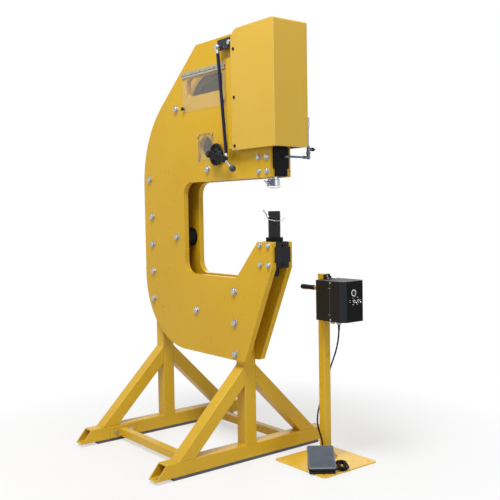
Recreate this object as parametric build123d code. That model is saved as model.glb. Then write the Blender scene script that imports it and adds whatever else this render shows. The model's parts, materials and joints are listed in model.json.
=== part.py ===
from build123d import *
import math
import os

# Motor-driven planishing hammer with a loose control pedestal and a foot switch.
# +X points to the operator, +Y to the motor side and +Z up. Sizes are in millimetres.
# The origin is on the floor, under the front post and in the machine's middle plane.

# Cuts and clearances
PASS = 1.0
SLACK = 0.3
RUN = 0.06

# Side plates
PLATE_T = 25.4
GAP = 31.75
OUTER = GAP + PLATE_T
PLATE_TOP = 1914.0
PLATE_BOTTOM = 461.0
PLATE_REAR = -768.0
PLATE_FRONT = 260.0
TOP_REAR = -269.0
SHOULDER_Z = 1514.0
SHOULDER_R = 488.0
HEEL_R = 356.0
NOSE_BOTTOM = 1274.0
THROAT_REAR = -397.0
THROAT_FLOOR = 835.0
THROAT_R = 62.0
JAW_FOOT = 13.0
JAW_REAR = 168.0
JAW_TOP = 1000.0
JAW_FRONT = 262.0
KNEE_Z = 891.0
KNEE_R = 18.0
FRONT_FOOT = 64.0
BLUNT_R = 14.0
CRISP_R = 4.0
STRIP_X = (8.0, 85.0)
STRIP_Z = (1405.0, 1800.0)
STRIP_STEP_X = 48.0
STRIP_TOP = 1843.0
WINDOW_X = (-353.0, -62.0)
WINDOW_Z = (1680.0, 1768.0)
WINDOW_R = 28.0
INSPECT = (-203.0, 1432.0)
INSPECT_R = 52.0
SPARE_HOLES_X = (-605.0, -560.0)
SPARE_HOLES_Z = (1345.0, 1171.0, 823.0, 650.0)
SPARE_HOLE_R = 2.6

# Stand
TUBE = 63.5
TUBE_WALL = 4.8
TUBE_R = 4.0
BORE_ROUND = 0.6
PAD_T = 12.7
PAD_HALF = 418.0
PAD_W = 58.0
REAR_X = -688.0
RAIL_TOP = PAD_T + TUBE
RAIL_TOP_HALF = 452.0
RAIL_BOTTOM_HALF = 505.0
ANCHOR_Y = 478.0
ANCHOR_R = 7.0
FRONT_POST_TOP = 815.0
REAR_POST_TOP = 1165.0
BRACE_FOOT = 349.0
CROSS_TUBE = 38.1
SMALL_TUBE_WALL = 3.0
SMALL_TUBE_R = 3.0
CROSS_Y = 280.0
CROSS_Z = 39.0
FLANGE_T = 5.0
FLANGE_W = 137.0
FLANGE_Z = (16.0, 72.0)
FLANGE_BOLT_Z = 44.0
FLANGE_BOLT_HALF = 41.0

# Fasteners, with heads as (radius, thickness)
BOLT_R = 8.0
BOLT_AF = 26.0
BOLT_TAIL = 4.0
WASHER_R = 17.0
WASHER_T = 3.0
HEAD_T = 10.0
NUT_T = 13.0
SCREW_R = 5.0
SCREW_AF = 19.0
SCREW_HEAD_T = 8.0
SCREW_TAIL = 3.0
SCREW_WASHER = (12.0, 2.0)
COVER_SCREW_R = 3.0
COVER_SCREW_L = 20.0
COVER_HEAD = (6.5, 5.0)
INSPECT_SCREW_R = 2.5
INSPECT_SCREW_L = 14.0
INSPECT_HEAD = (5.0, 4.0)
CAP_SCREW_R = 4.0
CAP_SCREW_L = 25.0
CAP_HEAD = (7.0, 8.0)
FRONT_BOLTS_Z = (490.0, 631.5, 773.0)
REAR_BOLTS_Z = (689.0, 830.0, 971.0, 1112.0)
TIE_BOLTS = ((-444.0, 1633.0), (-705.0, 1303.0), (-187.0, 1329.0), (-301.0, 662.0))
THROAT_BOLT = (-460.0, 1011.0)
SPACER_R = 20.0
THROAT_SPACER_R = 45.0

# Ram, blocks and tool holders, all on the tool axis
TOOL_X = 215.0
TOOL_CHAMFER = 1.5
NOSE_BOLTS_X = (TOOL_X - 27.0, TOOL_X + 27.0)
NOSE_BOLTS_Z = (1299.5, 1360.0)
JAW_BOLTS_Z = (902.0, 985.0)
BLOCK_REAR = 172.0
BLOCK_BOLT_L = 10.0
GUIDE_Z = (1277.0, 1400.0)
LIP_T = 9.0
GUIDE_LIP_HALF = 41.0
GUIDE_LIP_Z = 1310.0
RAM_R = 22.5
RAM_TOP = 1836.0
RAM_HEAD_HALF = 22.0
RAM_HEAD_RISE = 25.0
FORK_DROP = 24.0
FORK_CLEAR = 0.5
CROSSHEAD_PLAY = 3.0
HOLDER_R = 26.5
HOLDER_Z = (1238.0, 1266.0)
SOCKET_R = 12.7
UPPER_SOCKET_TOP = 1262.0
UPPER_PIN_Z = 1252.0
UPPER_HEAD_Y = -37.0
UPPER_BAIL_DROP = 23.0
LOWER_SOCKET_BOTTOM = 1100.0
LOWER_PIN_Z = 1108.0
LOWER_HEAD_Y = -35.0
LOWER_BAIL_DROP = 19.0
PIN_R = 4.0
PIN_HEAD_R = 7.0
PIN_TAIL_Y = 33.0
TAB_R = 3.0
WIRE_R = 1.6
WIRE_BEND = 4.0
BAIL_TOP = 8.5
BAIL_NECK = 12.0
ANVIL_Z = (887.0, 1001.0)
CAP_HALF = 40.5
CAP_Z = (912.0, 978.0)
CAP_INSET = 2.0
CAP_BOLTS_Z = (905.0, 985.0)
COLLAR_R = 37.0
COLLAR_Z = (1001.3, 1018.7)
COLLAR_SLOTS = 8
COLLAR_SLOT_W = 8.0
COLLAR_SLOT_DEPTH = 3.5
POST_R = 26.0
POST_Z = (1019.0, 1131.0)
SHANK_R = 17.0
SHANK_BOTTOM = 850.0

# Rocker drive
ROCKER = (95.0, 1870.0)
ROCKER_ARM = 120.0
ROCKER_HALF_T = 8.0
ROCKER_DEPTH = 36.0
ROCKER_HUB_R = 34.0
ROCKER_PIN_R = 8.0
ROCKER_PIN_TIP = 2.0
ROCKER_BORE_R = 21.0
LIFT_SHAFT = (100.0, 1870.0)
LIFT_SHAFT_R = 14.0
LIFT_SEAT_R = 18.0
LIFT_SEAT_HALF = 10.0
SHAFT_COLLAR_R = 20.0
SHAFT_COLLAR_T = 8.0
SHAFT_TIP = 3.0
FLYWHEEL = (-180.0, 1583.0)
FLYWHEEL_R = 200.0
FLYWHEEL_Y = (-26.0, 7.5)
HUB_R = 60.0
RIM_INNER_R = 160.0
WEB_DEPTH = 8.0
AXLE_R = 20.0
AXLE_ROOM = 1.0
AXLE_FLANGE_R = 50.0
AXLE_FLANGE_T = 10.0
AXLE_CAP_R = 26.0
AXLE_CAP_Y = (-30.0, -26.5)
BEARING_R = 36.0
BEARINGS_Y = ((-25.0, -11.0), (-7.5, 6.5))
ECCENTRIC_R = 40.0
STROKE_HALF = 7.0
ROD_Y = (8.5, 22.5)
ROD_PLAY = 1.5
ROD_W = 26.0
ROD_EYE_R = 19.0
STRAP_INNER_R = ECCENTRIC_R + 2 * STROKE_HALF + 1.0
STRAP_OUTER_R = STRAP_INNER_R + 15.0
MOTOR = (-430.0, 1400.0)
MOTOR_R = 80.0
MOTOR_CORE_R = 72.0
MOTOR_END = 345.0
MOTOR_COWL_L = 55.0
MOTOR_FLANGE_R = 95.0
MOTOR_FLANGE_T = 12.0
MOTOR_FINS = 30
FIN_HEIGHT = 9.0
FIN_T = 3.0
FIN_END = 8.0
TERMINAL_HALF = (48.0, 55.0)
TERMINAL_Z = (55.0, 122.0)
MOTOR_SHAFT_R = 12.0
MOTOR_HOLE_R = 18.0
MOTOR_BORE = 60.0
PULLEY_R = 45.0
BELT_Y = (FLYWHEEL_Y[0] + FLYWHEEL_Y[1]) / 2
BELT_HALF = 6.0
BELT_DEPTH = 9.0
BELT_INSET = 0.5
GROOVE_HALF = 7.5
GROOVE_DEPTH = 11.0

# Front cover and guard
COVER_X = (45.0, 335.0)
COVER_Y = 92.0
COVER_Z = (1398.0, 1919.0)
SHEET = 2.5
COVER_INNER = COVER_Y - SHEET
COVER_REAR_R = 48.0
COVER_EDGE_R = 9.0
COVER_FLANGE = 15.0
COVER_SCREW_X = 66.0
COVER_SCREWS_Z = (1834.0, 1626.0, 1417.0)
HINGE_X = (-385.0, -40.0)
HINGE_AXIS = (-OUTER - 4.0, 1785.0)
HINGE_TOP = 1800.0
HINGE_BOTTOM = 1771.0
LEAF_T = 2.0
KNUCKLES = 9
KNUCKLE_R = 3.5
KNUCKLE_GAP = 0.8
HINGE_PIN_R = 1.5
PANEL_X = (-382.0, -42.0)
PANEL_Z = (1612.0, 1780.0)
PANEL_T = 3.5
PANE_R = 6.0
GUARD_KNOBS_X = (-372.0, -53.0)
GUARD_KNOB_Z = 1627.0
GUARD_KNOB_STEM = (5.0, 5.0)
GUARD_KNOB_HEAD = (9.0, 10.0)
INSPECT_HALF = 64.0
INSPECT_T = 4.0
INSPECT_MARGIN = 8.0

# Hand linkage that lifts the upper tool
LEVER_PIVOT = (-105.0, 1392.0)
LEVER_END = (13.0, 1361.0)
LEVER_Y = (-114.0, -104.0)
LEVER_W = 30.0
LEVER_HUB_R = 16.0
PIVOT_R = 12.0
PIVOT_TIP = 5.0
PIVOT_BOSS_R = 18.0
LIFT_FOOT_R = 30.0
LIFT_FLANGE_R = 50.0
LIFT_FLANGE_T = 17.0
LIFT_FLANGE_GAP = 9.5
LINK_Y = (-103.0, -93.0)
LINK_EYE_R = 13.0
LINK_OPEN_EYE_R = 14.0
LINK_OPEN_R = 8.0
LINK_NECK = 8.0
LINK_NECK_R = 4.5
LINK_NUT = (19.0, 28.0)
LINK_NUT_R = 8.2
SLEEVE_R = 7.5
STUD_R = 5.0
STUD_TIP = 6.0
STUD_NUT_R = 10.0
ARM_X = (-60.0, 126.0)
ARM_Y = (-85.0, -73.0)
ARM_HALF = 23.0
ARM_R = 8.0
ARM_PIVOT = (-42.0, 1858.0)
ARM_BOLT_X = 28.0
ARM_BOLT_T = 7.0
HANDLE_R = 4.5
BALL = (69.0, 1318.0)
BALL_R = 15.0

# Drip oiler
OILER = (280.0, 143.0)
OILER_Z = 1360.0
OILER_PORT_Y = 15.0
OILER_PORT_R = 6.0
OILER_PORT_REACH = 5.0
OILER_PIPE_R = 5.0
OILER_ELBOW = 18.0
OILER_BODY_R = 8.0
OILER_BODY_TOP = 1407.0
OILER_TUBE_R = 3.0
OILER_TUBE_TOP = 1490.0
OIL_SLEEVE_R = 7.0
OIL_SLEEVE_TOP = 1532.0
VALVE_Z = 1395.0
VALVE_PORT_R = 6.0
VALVE_PORT_L = 18.0
VALVE_SEAT = 9.0
VALVE_STEM_R = 2.5
VALVE_KNOB_R = 8.0
VALVE_KNOB_END = 30.0
VALVE_TIP_L = 12.0
VALVE_FLATS = 6
VALVE_FLAT = (3.5, 9.0, 3.0)
VALVE_FLAT_Y = 24.0
VALVE_FLAT_R = 9.0

# Control pedestal
BASE_C = (261.0, 242.0)
BASE = 325.0
BASE_T = 6.0
BASE_R = 14.0
BASE_HOLE_HALF = 136.0
BASE_HOLE_R = 6.5
POLE_C = (262.0, 243.0)
POLE = 38.1
POLE_TOP = 849.0
GUSSET = (50.0, 60.0)
GUSSET_TOE = 8.0
GUSSET_T = 6.0
GRIP_Z = 783.0
GRIP_R = 12.0
GRIP_L = 128.0
GRIP_ROUND = 5.0
GRIP_COLLAR_R = 10.0
GRIP_COLLAR_L = 38.0
CASE_X = (283.0, 453.0)
CASE_SPLIT = 372.0
CASE_Y = (172.0, 312.0)
CASE_Z = (652.0, 827.0)
CASE_BEVEL = 21.0
CASE_WALL = 3.0
CASE_REAR_R = 6.0
CASE_FRONT_R = 3.0
CASE_PAD_HALF = 20.0
CASE_PAD_INSET = 30.0
GLANDS_X = (355.0, 318.0)
GLAND_R = 7.0
GLAND_BODY_R = 7.5
GLAND_NUT_R = 10.0
GLAND_NUT_L = 10.0
GLAND_THREAD_L = 8.0
GLAND_BOTTOM = 630.0
KNOB_YZ = (235.0, 777.0)
DIAL_R = 21.0
DIAL_T = 1.2
KNOB_R = 9.5
KNOB_L = 9.0
KNOB_CHAMFER = 2.0
KNOB_STEM_R = 3.0
KNOB_STEM_L = 12.0
POINTER = (2.0, 8.0, 1.5)
SWITCHES_YZ = ((231.0, 742.0), (257.0, 742.0))
SWITCH_COLLAR_R = 7.0
SWITCH_COLLAR_L = 7.0
SWITCH_BORE_R = 5.0
TOGGLE_PIVOT = 3.0
TOGGLE_TILT = 15.0
TOGGLE_ROOT_R = 2.4
TOGGLE_TIP_R = 3.2
TOGGLE_BALL_R = 3.4
TOGGLE_REACH = (-4.0, 16.0)
BOARD_MARGIN = (14.0, 18.0)
BOARD_T = 2.0
STANDOFF_L = 6.0
STANDOFF_R = 4.0
STANDOFF_INSET = 8.0
HEATSINK = (28.0, 40.0, 90.0)
HEATSINK_AT = (12.0, 15.0)
CAPACITORS = 3
CAPACITOR_R = 12.0
CAPACITOR_L = 30.0
CAPACITOR_AT = (22.0, 30.0)
CAPACITOR_PITCH = 34.0

# Foot switch, turned to face the operator
PEDAL_FRONT = (388.0, 103.0)
PEDAL_TURN = 51.7
PEDAL_W = 118.0
PEDAL_L = 115.0
PEDAL_FRONT_H = 25.0
PEDAL_SLOPE = 30.0
PEDAL_TRAVEL = 8.0
PEDAL_WALL = 4.0
PEDAL_SIDE_GAP = 3.0
PEDAL_UNDER_GAP = 2.5
PEDAL_FRONT_GAP = 1.5
TREADLE_T = 10.0
PEDAL_HINGE = (9.0, 12.0)
PEDAL_PIN_R = 3.0
PEDAL_LUG_R = 5.0
PEDAL_LUG_HALF = 40.0
PEDAL_LUG_WEB = 4.0
PEDAL_LUG_TOP = (18.0, 22.0)
PEDAL_PORT_Y = 26.5
PEDAL_PORT_R = 6.5
PEDAL_PORT_L = 9.0

# Foot switch cord
CORD_R = 3.5
CORD_FLOOR = BASE_T + CORD_R
CORD_LAYER = 9.0
CORD_BEND_SHARE = 0.45
COIL_PITCH = 9.0
COIL_SIDE = PEDAL_W / 2 + 33.0
COIL_REAR = 114.0
COIL_FRONT = 52.0
COIL_HALF_TURNS = 8
COIL_REVERSAL = 3
COIL_TIGHT_R = 7.5
CLIMB_SHARE = 0.5
GAP_STEP = 2.0
GAP_SKIP = 12


def block(x, y, z):
    """Box between (low, high) limits on each axis."""
    limits = (x, y, z)
    size = [high - low for low, high in limits]
    middle = [(high + low) / 2 for low, high in limits]
    return Pos(*middle) * Box(*size)


def rod_x(x, y, z, r):
    return Pos(sum(x) / 2, y, z) * Rot(0, 90, 0) * Cylinder(r, x[1] - x[0])


def rod_y(x, y, z, r):
    return Pos(x, sum(y) / 2, z) * Rot(90, 0, 0) * Cylinder(r, y[1] - y[0])


def rod_z(x, y, z, r):
    return Pos(x, y, sum(z) / 2) * Cylinder(r, z[1] - z[0])


def rod_between(start, end, r):
    """Round bar from one point to another."""
    run = Vector(*end) - Vector(*start)
    return extrude(Plane(origin=start, z_dir=run) * Circle(r), run.length)


def slab(face, y):
    """Solid from a face drawn in X and Z, between two Y values."""
    return Pos(0, y[1], 0) * extrude(Plane.XZ * face, y[1] - y[0])


def outline(corners):
    """Face bounded by (x, y, radius) corners."""
    count = len(corners)
    rounds = []
    for i, (x, y, r) in enumerate(corners):
        here = Vector(x, y)
        back = (Vector(*corners[i - 1][:2]) - here).normalized()
        ahead = (Vector(*corners[(i + 1) % count][:2]) - here).normalized()
        half = math.radians(back.get_angle(ahead)) / 2
        cut = r / math.tan(half)
        middle = here + (back + ahead).normalized() * (r / math.sin(half) - r)
        rounds.append((here + back * cut, middle, here + ahead * cut))
    edges = []
    for i, (start, middle, end) in enumerate(rounds):
        if corners[i][2] > 0:
            edges.append(ThreePointArc(start, middle, end))
        edges.append(Line(end, rounds[(i + 1) % count][0]))
    return make_face(edges)


def bar_face(start, end, width):
    """Rectangle of a given width along the line between two points."""
    run = Vector(*end) - Vector(*start)
    angle = math.degrees(math.atan2(run.Y, run.X))
    middle = (Vector(*start) + Vector(*end)) / 2
    return Pos(middle.X, middle.Y) * Rot(0, 0, angle) * Rectangle(run.length, width)


def disc(centre, r):
    return Pos(*centre) * Circle(r)


def hex_y(x, y, z, across):
    return slab(Pos(x, z) * RegularPolygon(across / 2, 6, major_radius=False), y)


def hex_x(x, y, z, across):
    face = Plane.YZ * Pos(y, z) * RegularPolygon(across / 2, 6, major_radius=False)
    return Pos(x[0], 0, 0) * extrude(face, x[1] - x[0])


def tube_face(size, wall, r):
    bore = size - 2 * wall
    return RectangleRounded(size, size, r) - RectangleRounded(bore, bore, r - wall * BORE_ROUND)


def group(solids):
    return Compound(list(solids))


def spread(side, low, high):
    """Limits on one side of the middle plane, in rising order."""
    return sorted((side * low, side * high))


def rounded(x, z, r):
    """Rounded rectangle between (low, high) limits."""
    return outline([(x[0], z[0], r), (x[1], z[0], r), (x[1], z[1], r), (x[0], z[1], r)])


# Side plates

def plate_face():
    return outline([
        (TOP_REAR, PLATE_TOP, BLUNT_R), (PLATE_FRONT, PLATE_TOP, CRISP_R),
        (PLATE_FRONT, NOSE_BOTTOM, CRISP_R),
        (THROAT_REAR, NOSE_BOTTOM, THROAT_R), (THROAT_REAR, THROAT_FLOOR, THROAT_R),
        (JAW_FOOT, THROAT_FLOOR, CRISP_R), (JAW_REAR, JAW_TOP, CRISP_R), (JAW_FRONT, JAW_TOP, CRISP_R),
        (JAW_FRONT, KNEE_Z, KNEE_R), (FRONT_FOOT, PLATE_BOTTOM, BLUNT_R),
        (PLATE_REAR, PLATE_BOTTOM, HEEL_R), (PLATE_REAR, SHOULDER_Z, SHOULDER_R),
    ])


def through_bolt_places():
    places = [(0.0, z) for z in FRONT_BOLTS_Z]
    places += [(REAR_X, z) for z in REAR_BOLTS_Z]
    return places + list(TIE_BOLTS) + [THROAT_BOLT]


def block_bolt_places():
    return [(x, z) for x in NOSE_BOLTS_X for z in NOSE_BOLTS_Z + JAW_BOLTS_Z]


def side_plate(side):
    """Plate blank with its bolt holes and cover strip, on the near (-1) or far (+1) side."""
    face = plate_face()
    for place in through_bolt_places():
        face -= disc(place, BOLT_R + SLACK)
    for place in block_bolt_places():
        face -= disc(place, SCREW_R + SLACK)
    face -= disc(LIFT_SHAFT, LIFT_SHAFT_R + RUN)
    strip_y = spread(side, OUTER, COVER_INNER)
    strip = block(STRIP_X, strip_y, STRIP_Z)
    strip += block((STRIP_STEP_X, STRIP_X[1]), strip_y, (STRIP_Z[0], STRIP_TOP))
    hole_y = spread(side, COVER_Y - COVER_SCREW_L - PASS, COVER_INNER)
    for z in COVER_SCREWS_Z:
        strip -= rod_y(COVER_SCREW_X, hole_y, z, COVER_SCREW_R + SLACK)
    return slab(face, spread(side, GAP, OUTER)) + strip


def near_side_plate():
    cuts = rounded(WINDOW_X, WINDOW_Z, WINDOW_R) + disc(INSPECT, INSPECT_R)
    cuts += disc(LEVER_PIVOT, PIVOT_R + SLACK)
    for x in SPARE_HOLES_X:
        for z in SPARE_HOLES_Z:
            cuts += disc((x, z), SPARE_HOLE_R)
    for place in inspect_screws():
        cuts += disc(place, INSPECT_SCREW_R + SLACK)
    return side_plate(-1) - slab(cuts, (-OUTER - PASS, -GAP + PASS))


def far_side_plate():
    cuts = disc(FLYWHEEL, AXLE_R + SLACK) + disc(MOTOR, MOTOR_HOLE_R)
    return side_plate(1) - slab(cuts, (GAP - PASS, OUTER + PASS))


def plate_spacers():
    solids = []
    for place, r in [(p, SPACER_R) for p in TIE_BOLTS] + [(THROAT_BOLT, THROAT_SPACER_R)]:
        solids.append(slab(disc(place, r) - disc(place, BOLT_R + SLACK), (-GAP, GAP)))
    return group(solids)


# Stand

def post(x, top, bolts):
    tube = Pos(x, 0, RAIL_TOP) * extrude(tube_face(TUBE, TUBE_WALL, TUBE_R), top - RAIL_TOP)
    for z in bolts:
        tube -= rod_y(x, (-TUBE, TUBE), z, BOLT_R + SLACK)
    return tube


def foot_rail(x, inner_side):
    """Rail along Y with mitred ends, anchor holes and cross rail holes on its inner side."""
    profile = Plane.XZ * tube_face(TUBE, TUBE_WALL, TUBE_R)
    tube = Pos(x, RAIL_BOTTOM_HALF, PAD_T + TUBE / 2) * extrude(profile, 2 * RAIL_BOTTOM_HALF)
    mitre = Polygon((-RAIL_BOTTOM_HALF, PAD_T), (RAIL_BOTTOM_HALF, PAD_T),
                    (RAIL_TOP_HALF, RAIL_TOP), (-RAIL_TOP_HALF, RAIL_TOP), align=None)
    rail = tube & Pos(x - TUBE, 0, 0) * extrude(Plane.YZ * mitre, 2 * TUBE)
    for side in (-1, 1):
        rail -= rod_z(x, side * ANCHOR_Y, (0, PAD_T + TUBE / 2), ANCHOR_R)
        for y in flange_bolts_y(side):
            rail -= rod_x(sorted((x, x + inner_side * TUBE)), y, FLANGE_BOLT_Z, SCREW_R + SLACK)
    return rail


def flange_bolts_y(side):
    return [side * CROSS_Y + step for step in (-FLANGE_BOLT_HALF, FLANGE_BOLT_HALF)]


def diagonal_brace(x, side):
    middle_y = (TUBE / 2 + BRACE_FOOT) / 2
    middle_z = RAIL_TOP + (BRACE_FOOT - TUBE / 2) / 2
    length = 3 * BRACE_FOOT
    axis = Plane(origin=(x, side * middle_y, middle_z), x_dir=(1, 0, 0), z_dir=(0, -side, 1))
    tube = extrude(axis * tube_face(TUBE, TUBE_WALL, TUBE_R), length / 2, both=True)
    room_y = spread(side, TUBE / 2, length)
    return tube & block((x - TUBE, x + TUBE), room_y, (RAIL_TOP, RAIL_TOP + length))


def cross_rail(side):
    """Small tube between the rails, with a bolted flange at each end."""
    y = side * CROSS_Y
    ends = (REAR_X + TUBE / 2, -TUBE / 2)
    inner = (ends[0] + FLANGE_T, ends[1] - FLANGE_T)
    profile = Plane.YZ * tube_face(CROSS_TUBE, SMALL_TUBE_WALL, SMALL_TUBE_R)
    rail = Pos(inner[0], y, CROSS_Z) * extrude(profile, inner[1] - inner[0])
    for x in ((ends[0], inner[0]), (inner[1], ends[1])):
        flange = block(x, (y - FLANGE_W / 2, y + FLANGE_W / 2), FLANGE_Z)
        for bolt_y in flange_bolts_y(side):
            flange -= rod_x((x[0] - PASS, x[1] + PASS), bolt_y, FLANGE_BOLT_Z, SCREW_R + SLACK)
        rail += flange
    return rail


def rail_pads():
    length = (-PAD_HALF, PAD_HALF)
    return group(block((x - PAD_W / 2, x + PAD_W / 2), length, (0, PAD_T)) for x in (0, REAR_X))


# Bolts and screws

def through_bolt(x, z):
    """Bolt across both plates, with its washers and nut."""
    head = -OUTER - WASHER_T
    nut = OUTER + WASHER_T
    bolt = rod_y(x, (head, nut + NUT_T + BOLT_TAIL), z, BOLT_R)
    bolt += hex_y(x, (head - HEAD_T, head), z, BOLT_AF) + hex_y(x, (nut, nut + NUT_T), z, BOLT_AF)
    for side in (-1, 1):
        bolt += rod_y(x, spread(side, OUTER, OUTER + WASHER_T), z, WASHER_R)
    return bolt


def block_bolt(x, z, side):
    """Bolt through one plate into a block between the plates."""
    washer_r, washer_t = SCREW_WASHER
    seat = OUTER + washer_t
    bolt = rod_y(x, spread(side, GAP - BLOCK_BOLT_L, seat), z, SCREW_R)
    bolt += rod_y(x, spread(side, OUTER, seat), z, washer_r)
    return bolt + hex_y(x, spread(side, seat, seat + SCREW_HEAD_T), z, SCREW_AF)


def flange_bolt(x, direction, y):
    """Bolt through a cross rail flange and a rail wall, head towards the given direction."""
    wall = FLANGE_T + TUBE_WALL
    head = sorted((x, x + direction * SCREW_HEAD_T))
    nut = sorted((x - direction * wall, x - direction * (wall + SCREW_HEAD_T)))
    shank = sorted((x, x - direction * (wall + SCREW_HEAD_T + SCREW_TAIL)))
    bolt = rod_x(shank, y, FLANGE_BOLT_Z, SCREW_R) + hex_x(head, y, FLANGE_BOLT_Z, SCREW_AF)
    return bolt + hex_x(nut, y, FLANGE_BOLT_Z, SCREW_AF)


def frame_bolts():
    solids = [through_bolt(x, z) for x, z in through_bolt_places()]
    solids += [block_bolt(x, z, side) for x, z in block_bolt_places() for side in (-1, 1)]
    for side in (-1, 1):
        for y in flange_bolts_y(side):
            solids.append(flange_bolt(REAR_X + TUBE / 2 + FLANGE_T, 1, y))
            solids.append(flange_bolt(-TUBE / 2 - FLANGE_T, -1, y))
    return group(solids)


def inspect_screws():
    reach = INSPECT_HALF - INSPECT_MARGIN
    return [(INSPECT[0] + i * reach, INSPECT[1] + k * reach) for i in (-1, 1) for k in (-1, 1)]


def cover_screws():
    """Black screws of the cover, the inspection window and the anvil cap."""
    solids = []
    head_r, head_t = COVER_HEAD
    for side in (-1, 1):
        for z in COVER_SCREWS_Z:
            shank = rod_y(COVER_SCREW_X, spread(side, COVER_Y - COVER_SCREW_L, COVER_Y), z, COVER_SCREW_R)
            head = rod_y(COVER_SCREW_X, spread(side, COVER_Y, COVER_Y + head_t), z, head_r)
            solids.append(shank + head)
    seat = -OUTER - INSPECT_T
    head_r, head_t = INSPECT_HEAD
    for x, z in inspect_screws():
        shank = rod_y(x, (seat, -OUTER + INSPECT_SCREW_L), z, INSPECT_SCREW_R)
        solids.append(shank + rod_y(x, (seat - head_t, seat), z, head_r))
    seat = JAW_FRONT + LIP_T
    head_r, head_t = CAP_HEAD
    for z in CAP_BOLTS_Z:
        shank = rod_x((seat - CAP_SCREW_L, seat), 0, z, CAP_SCREW_R)
        solids.append(shank + rod_x((seat, seat + head_t), 0, z, head_r))
    return group(solids)


# Blocks on the tool axis

def ram_guide_block():
    lip = (PLATE_FRONT, PLATE_FRONT + LIP_T)
    body = block((BLOCK_REAR, lip[1]), (-GAP, GAP), GUIDE_Z)
    body += block(lip, (-GUIDE_LIP_HALF, GUIDE_LIP_HALF), (GUIDE_LIP_Z, GUIDE_Z[1]))
    body -= rod_z(TOOL_X, 0, (GUIDE_Z[0] - PASS, GUIDE_Z[1] + PASS), RAM_R + RUN)
    return body - block_bolt_holes(NOSE_BOLTS_Z)


def block_bolt_holes(heights):
    holes = []
    for x in NOSE_BOLTS_X:
        for z in heights:
            for side in (-1, 1):
                span = spread(side, GAP - BLOCK_BOLT_L - PASS, GAP + PASS)
                holes.append(rod_y(x, span, z, SCREW_R + SLACK))
    return holes


def anvil_block():
    body = block((BLOCK_REAR, JAW_FRONT), (-GAP, GAP), ANVIL_Z)
    body -= rod_z(TOOL_X, 0, (ANVIL_Z[0] - PASS, ANVIL_Z[1] + PASS), SHANK_R + RUN)
    hole_x = (JAW_FRONT + LIP_T - CAP_SCREW_L - PASS, JAW_FRONT + PASS)
    for z in CAP_BOLTS_Z:
        body -= rod_x(hole_x, 0, z, CAP_SCREW_R + SLACK)
    return body - block_bolt_holes(JAW_BOLTS_Z)


def anvil_cap():
    x = (JAW_FRONT, JAW_FRONT + LIP_T)
    cap = block(x, (-GAP, GAP), (ANVIL_Z[0] + CAP_INSET, ANVIL_Z[1] - CAP_INSET))
    cap += block(x, (-CAP_HALF, CAP_HALF), CAP_Z)
    for z in CAP_BOLTS_Z:
        cap -= rod_x((x[0] - PASS, x[1] + PASS), 0, z, CAP_SCREW_R + SLACK)
    return cap


def ram():
    """Round ram with a forked head that carries the crosshead pin in level slots."""
    pin_z = ROCKER[1]
    top = pin_z + RAM_HEAD_RISE
    fork = ROCKER_HALF_T + FORK_CLEAR
    head_x = (TOOL_X - RAM_HEAD_HALF, TOOL_X + RAM_HEAD_HALF)
    body = rod_z(TOOL_X, 0, (HOLDER_Z[1], RAM_TOP), RAM_R)
    body += block(head_x, (-RAM_HEAD_HALF, RAM_HEAD_HALF), (RAM_TOP, top))
    body -= block((head_x[0] - PASS, head_x[1] + PASS), (-fork, fork), (pin_z - FORK_DROP, top + PASS))
    slot = SlotOverall(2 * ROCKER_PIN_R + CROSSHEAD_PLAY, 2 * (ROCKER_PIN_R + SLACK))
    return body - slab(Pos(TOOL_X, pin_z) * slot, (-RAM_HEAD_HALF - PASS, RAM_HEAD_HALF + PASS))


def upper_tool_holder():
    holder = rod_z(TOOL_X, 0, HOLDER_Z, HOLDER_R)
    holder = chamfer(holder.edges().filter_by(GeomType.CIRCLE), TOOL_CHAMFER)
    holder -= rod_z(TOOL_X, 0, (HOLDER_Z[0] - PASS, UPPER_SOCKET_TOP), SOCKET_R)
    return holder - rod_y(TOOL_X, (-HOLDER_R - PASS, HOLDER_R + PASS), UPPER_PIN_Z, PIN_R + RUN)


def lock_pin(z, head_y, tab_end):
    """Cross pin with a round head, a thumb tab and an upright hole for its wire."""
    pin = rod_y(TOOL_X, (head_y, PIN_TAIL_Y), z, PIN_R)
    pin += Pos(TOOL_X, head_y, z) * Sphere(PIN_HEAD_R)
    pin += rod_between((TOOL_X, head_y, z), tab_end, TAB_R)
    reach = PIN_HEAD_R + 2 * TAB_R
    return pin - rod_z(TOOL_X, head_y, (z - reach, z + reach), WIRE_R + SLACK)


def wire(points):
    path = FilletPolyline(*points, radius=WIRE_BEND)
    start = Plane(origin=path @ 0, z_dir=path % 0)
    return sweep(start * Circle(WIRE_R), path=path)


def upper_lock_pin():
    return lock_pin(UPPER_PIN_Z, UPPER_HEAD_Y, (TOOL_X, UPPER_HEAD_Y - 16, UPPER_PIN_Z + 9))


def upper_pin_bail():
    low = UPPER_PIN_Z - UPPER_BAIL_DROP
    return wire([
        (TOOL_X, UPPER_HEAD_Y, UPPER_PIN_Z + BAIL_TOP), (TOOL_X, UPPER_HEAD_Y, UPPER_PIN_Z - BAIL_NECK),
        (TOOL_X + 21, UPPER_HEAD_Y - 10, low), (TOOL_X + 21, 6, low), (TOOL_X + 17, 24, low + 6)])


def lower_lock_pin():
    return lock_pin(LOWER_PIN_Z, LOWER_HEAD_Y, (TOOL_X, LOWER_HEAD_Y - 25, LOWER_PIN_Z + 27))


def lower_pin_bail():
    low = LOWER_PIN_Z - LOWER_BAIL_DROP
    return wire([
        (TOOL_X, LOWER_HEAD_Y, LOWER_PIN_Z + BAIL_TOP), (TOOL_X, LOWER_HEAD_Y, LOWER_PIN_Z - BAIL_NECK),
        (TOOL_X + 31, LOWER_HEAD_Y + 13, low), (TOOL_X + 31, 22, low), (TOOL_X + 29.5, 30, low + 15)])


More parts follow.
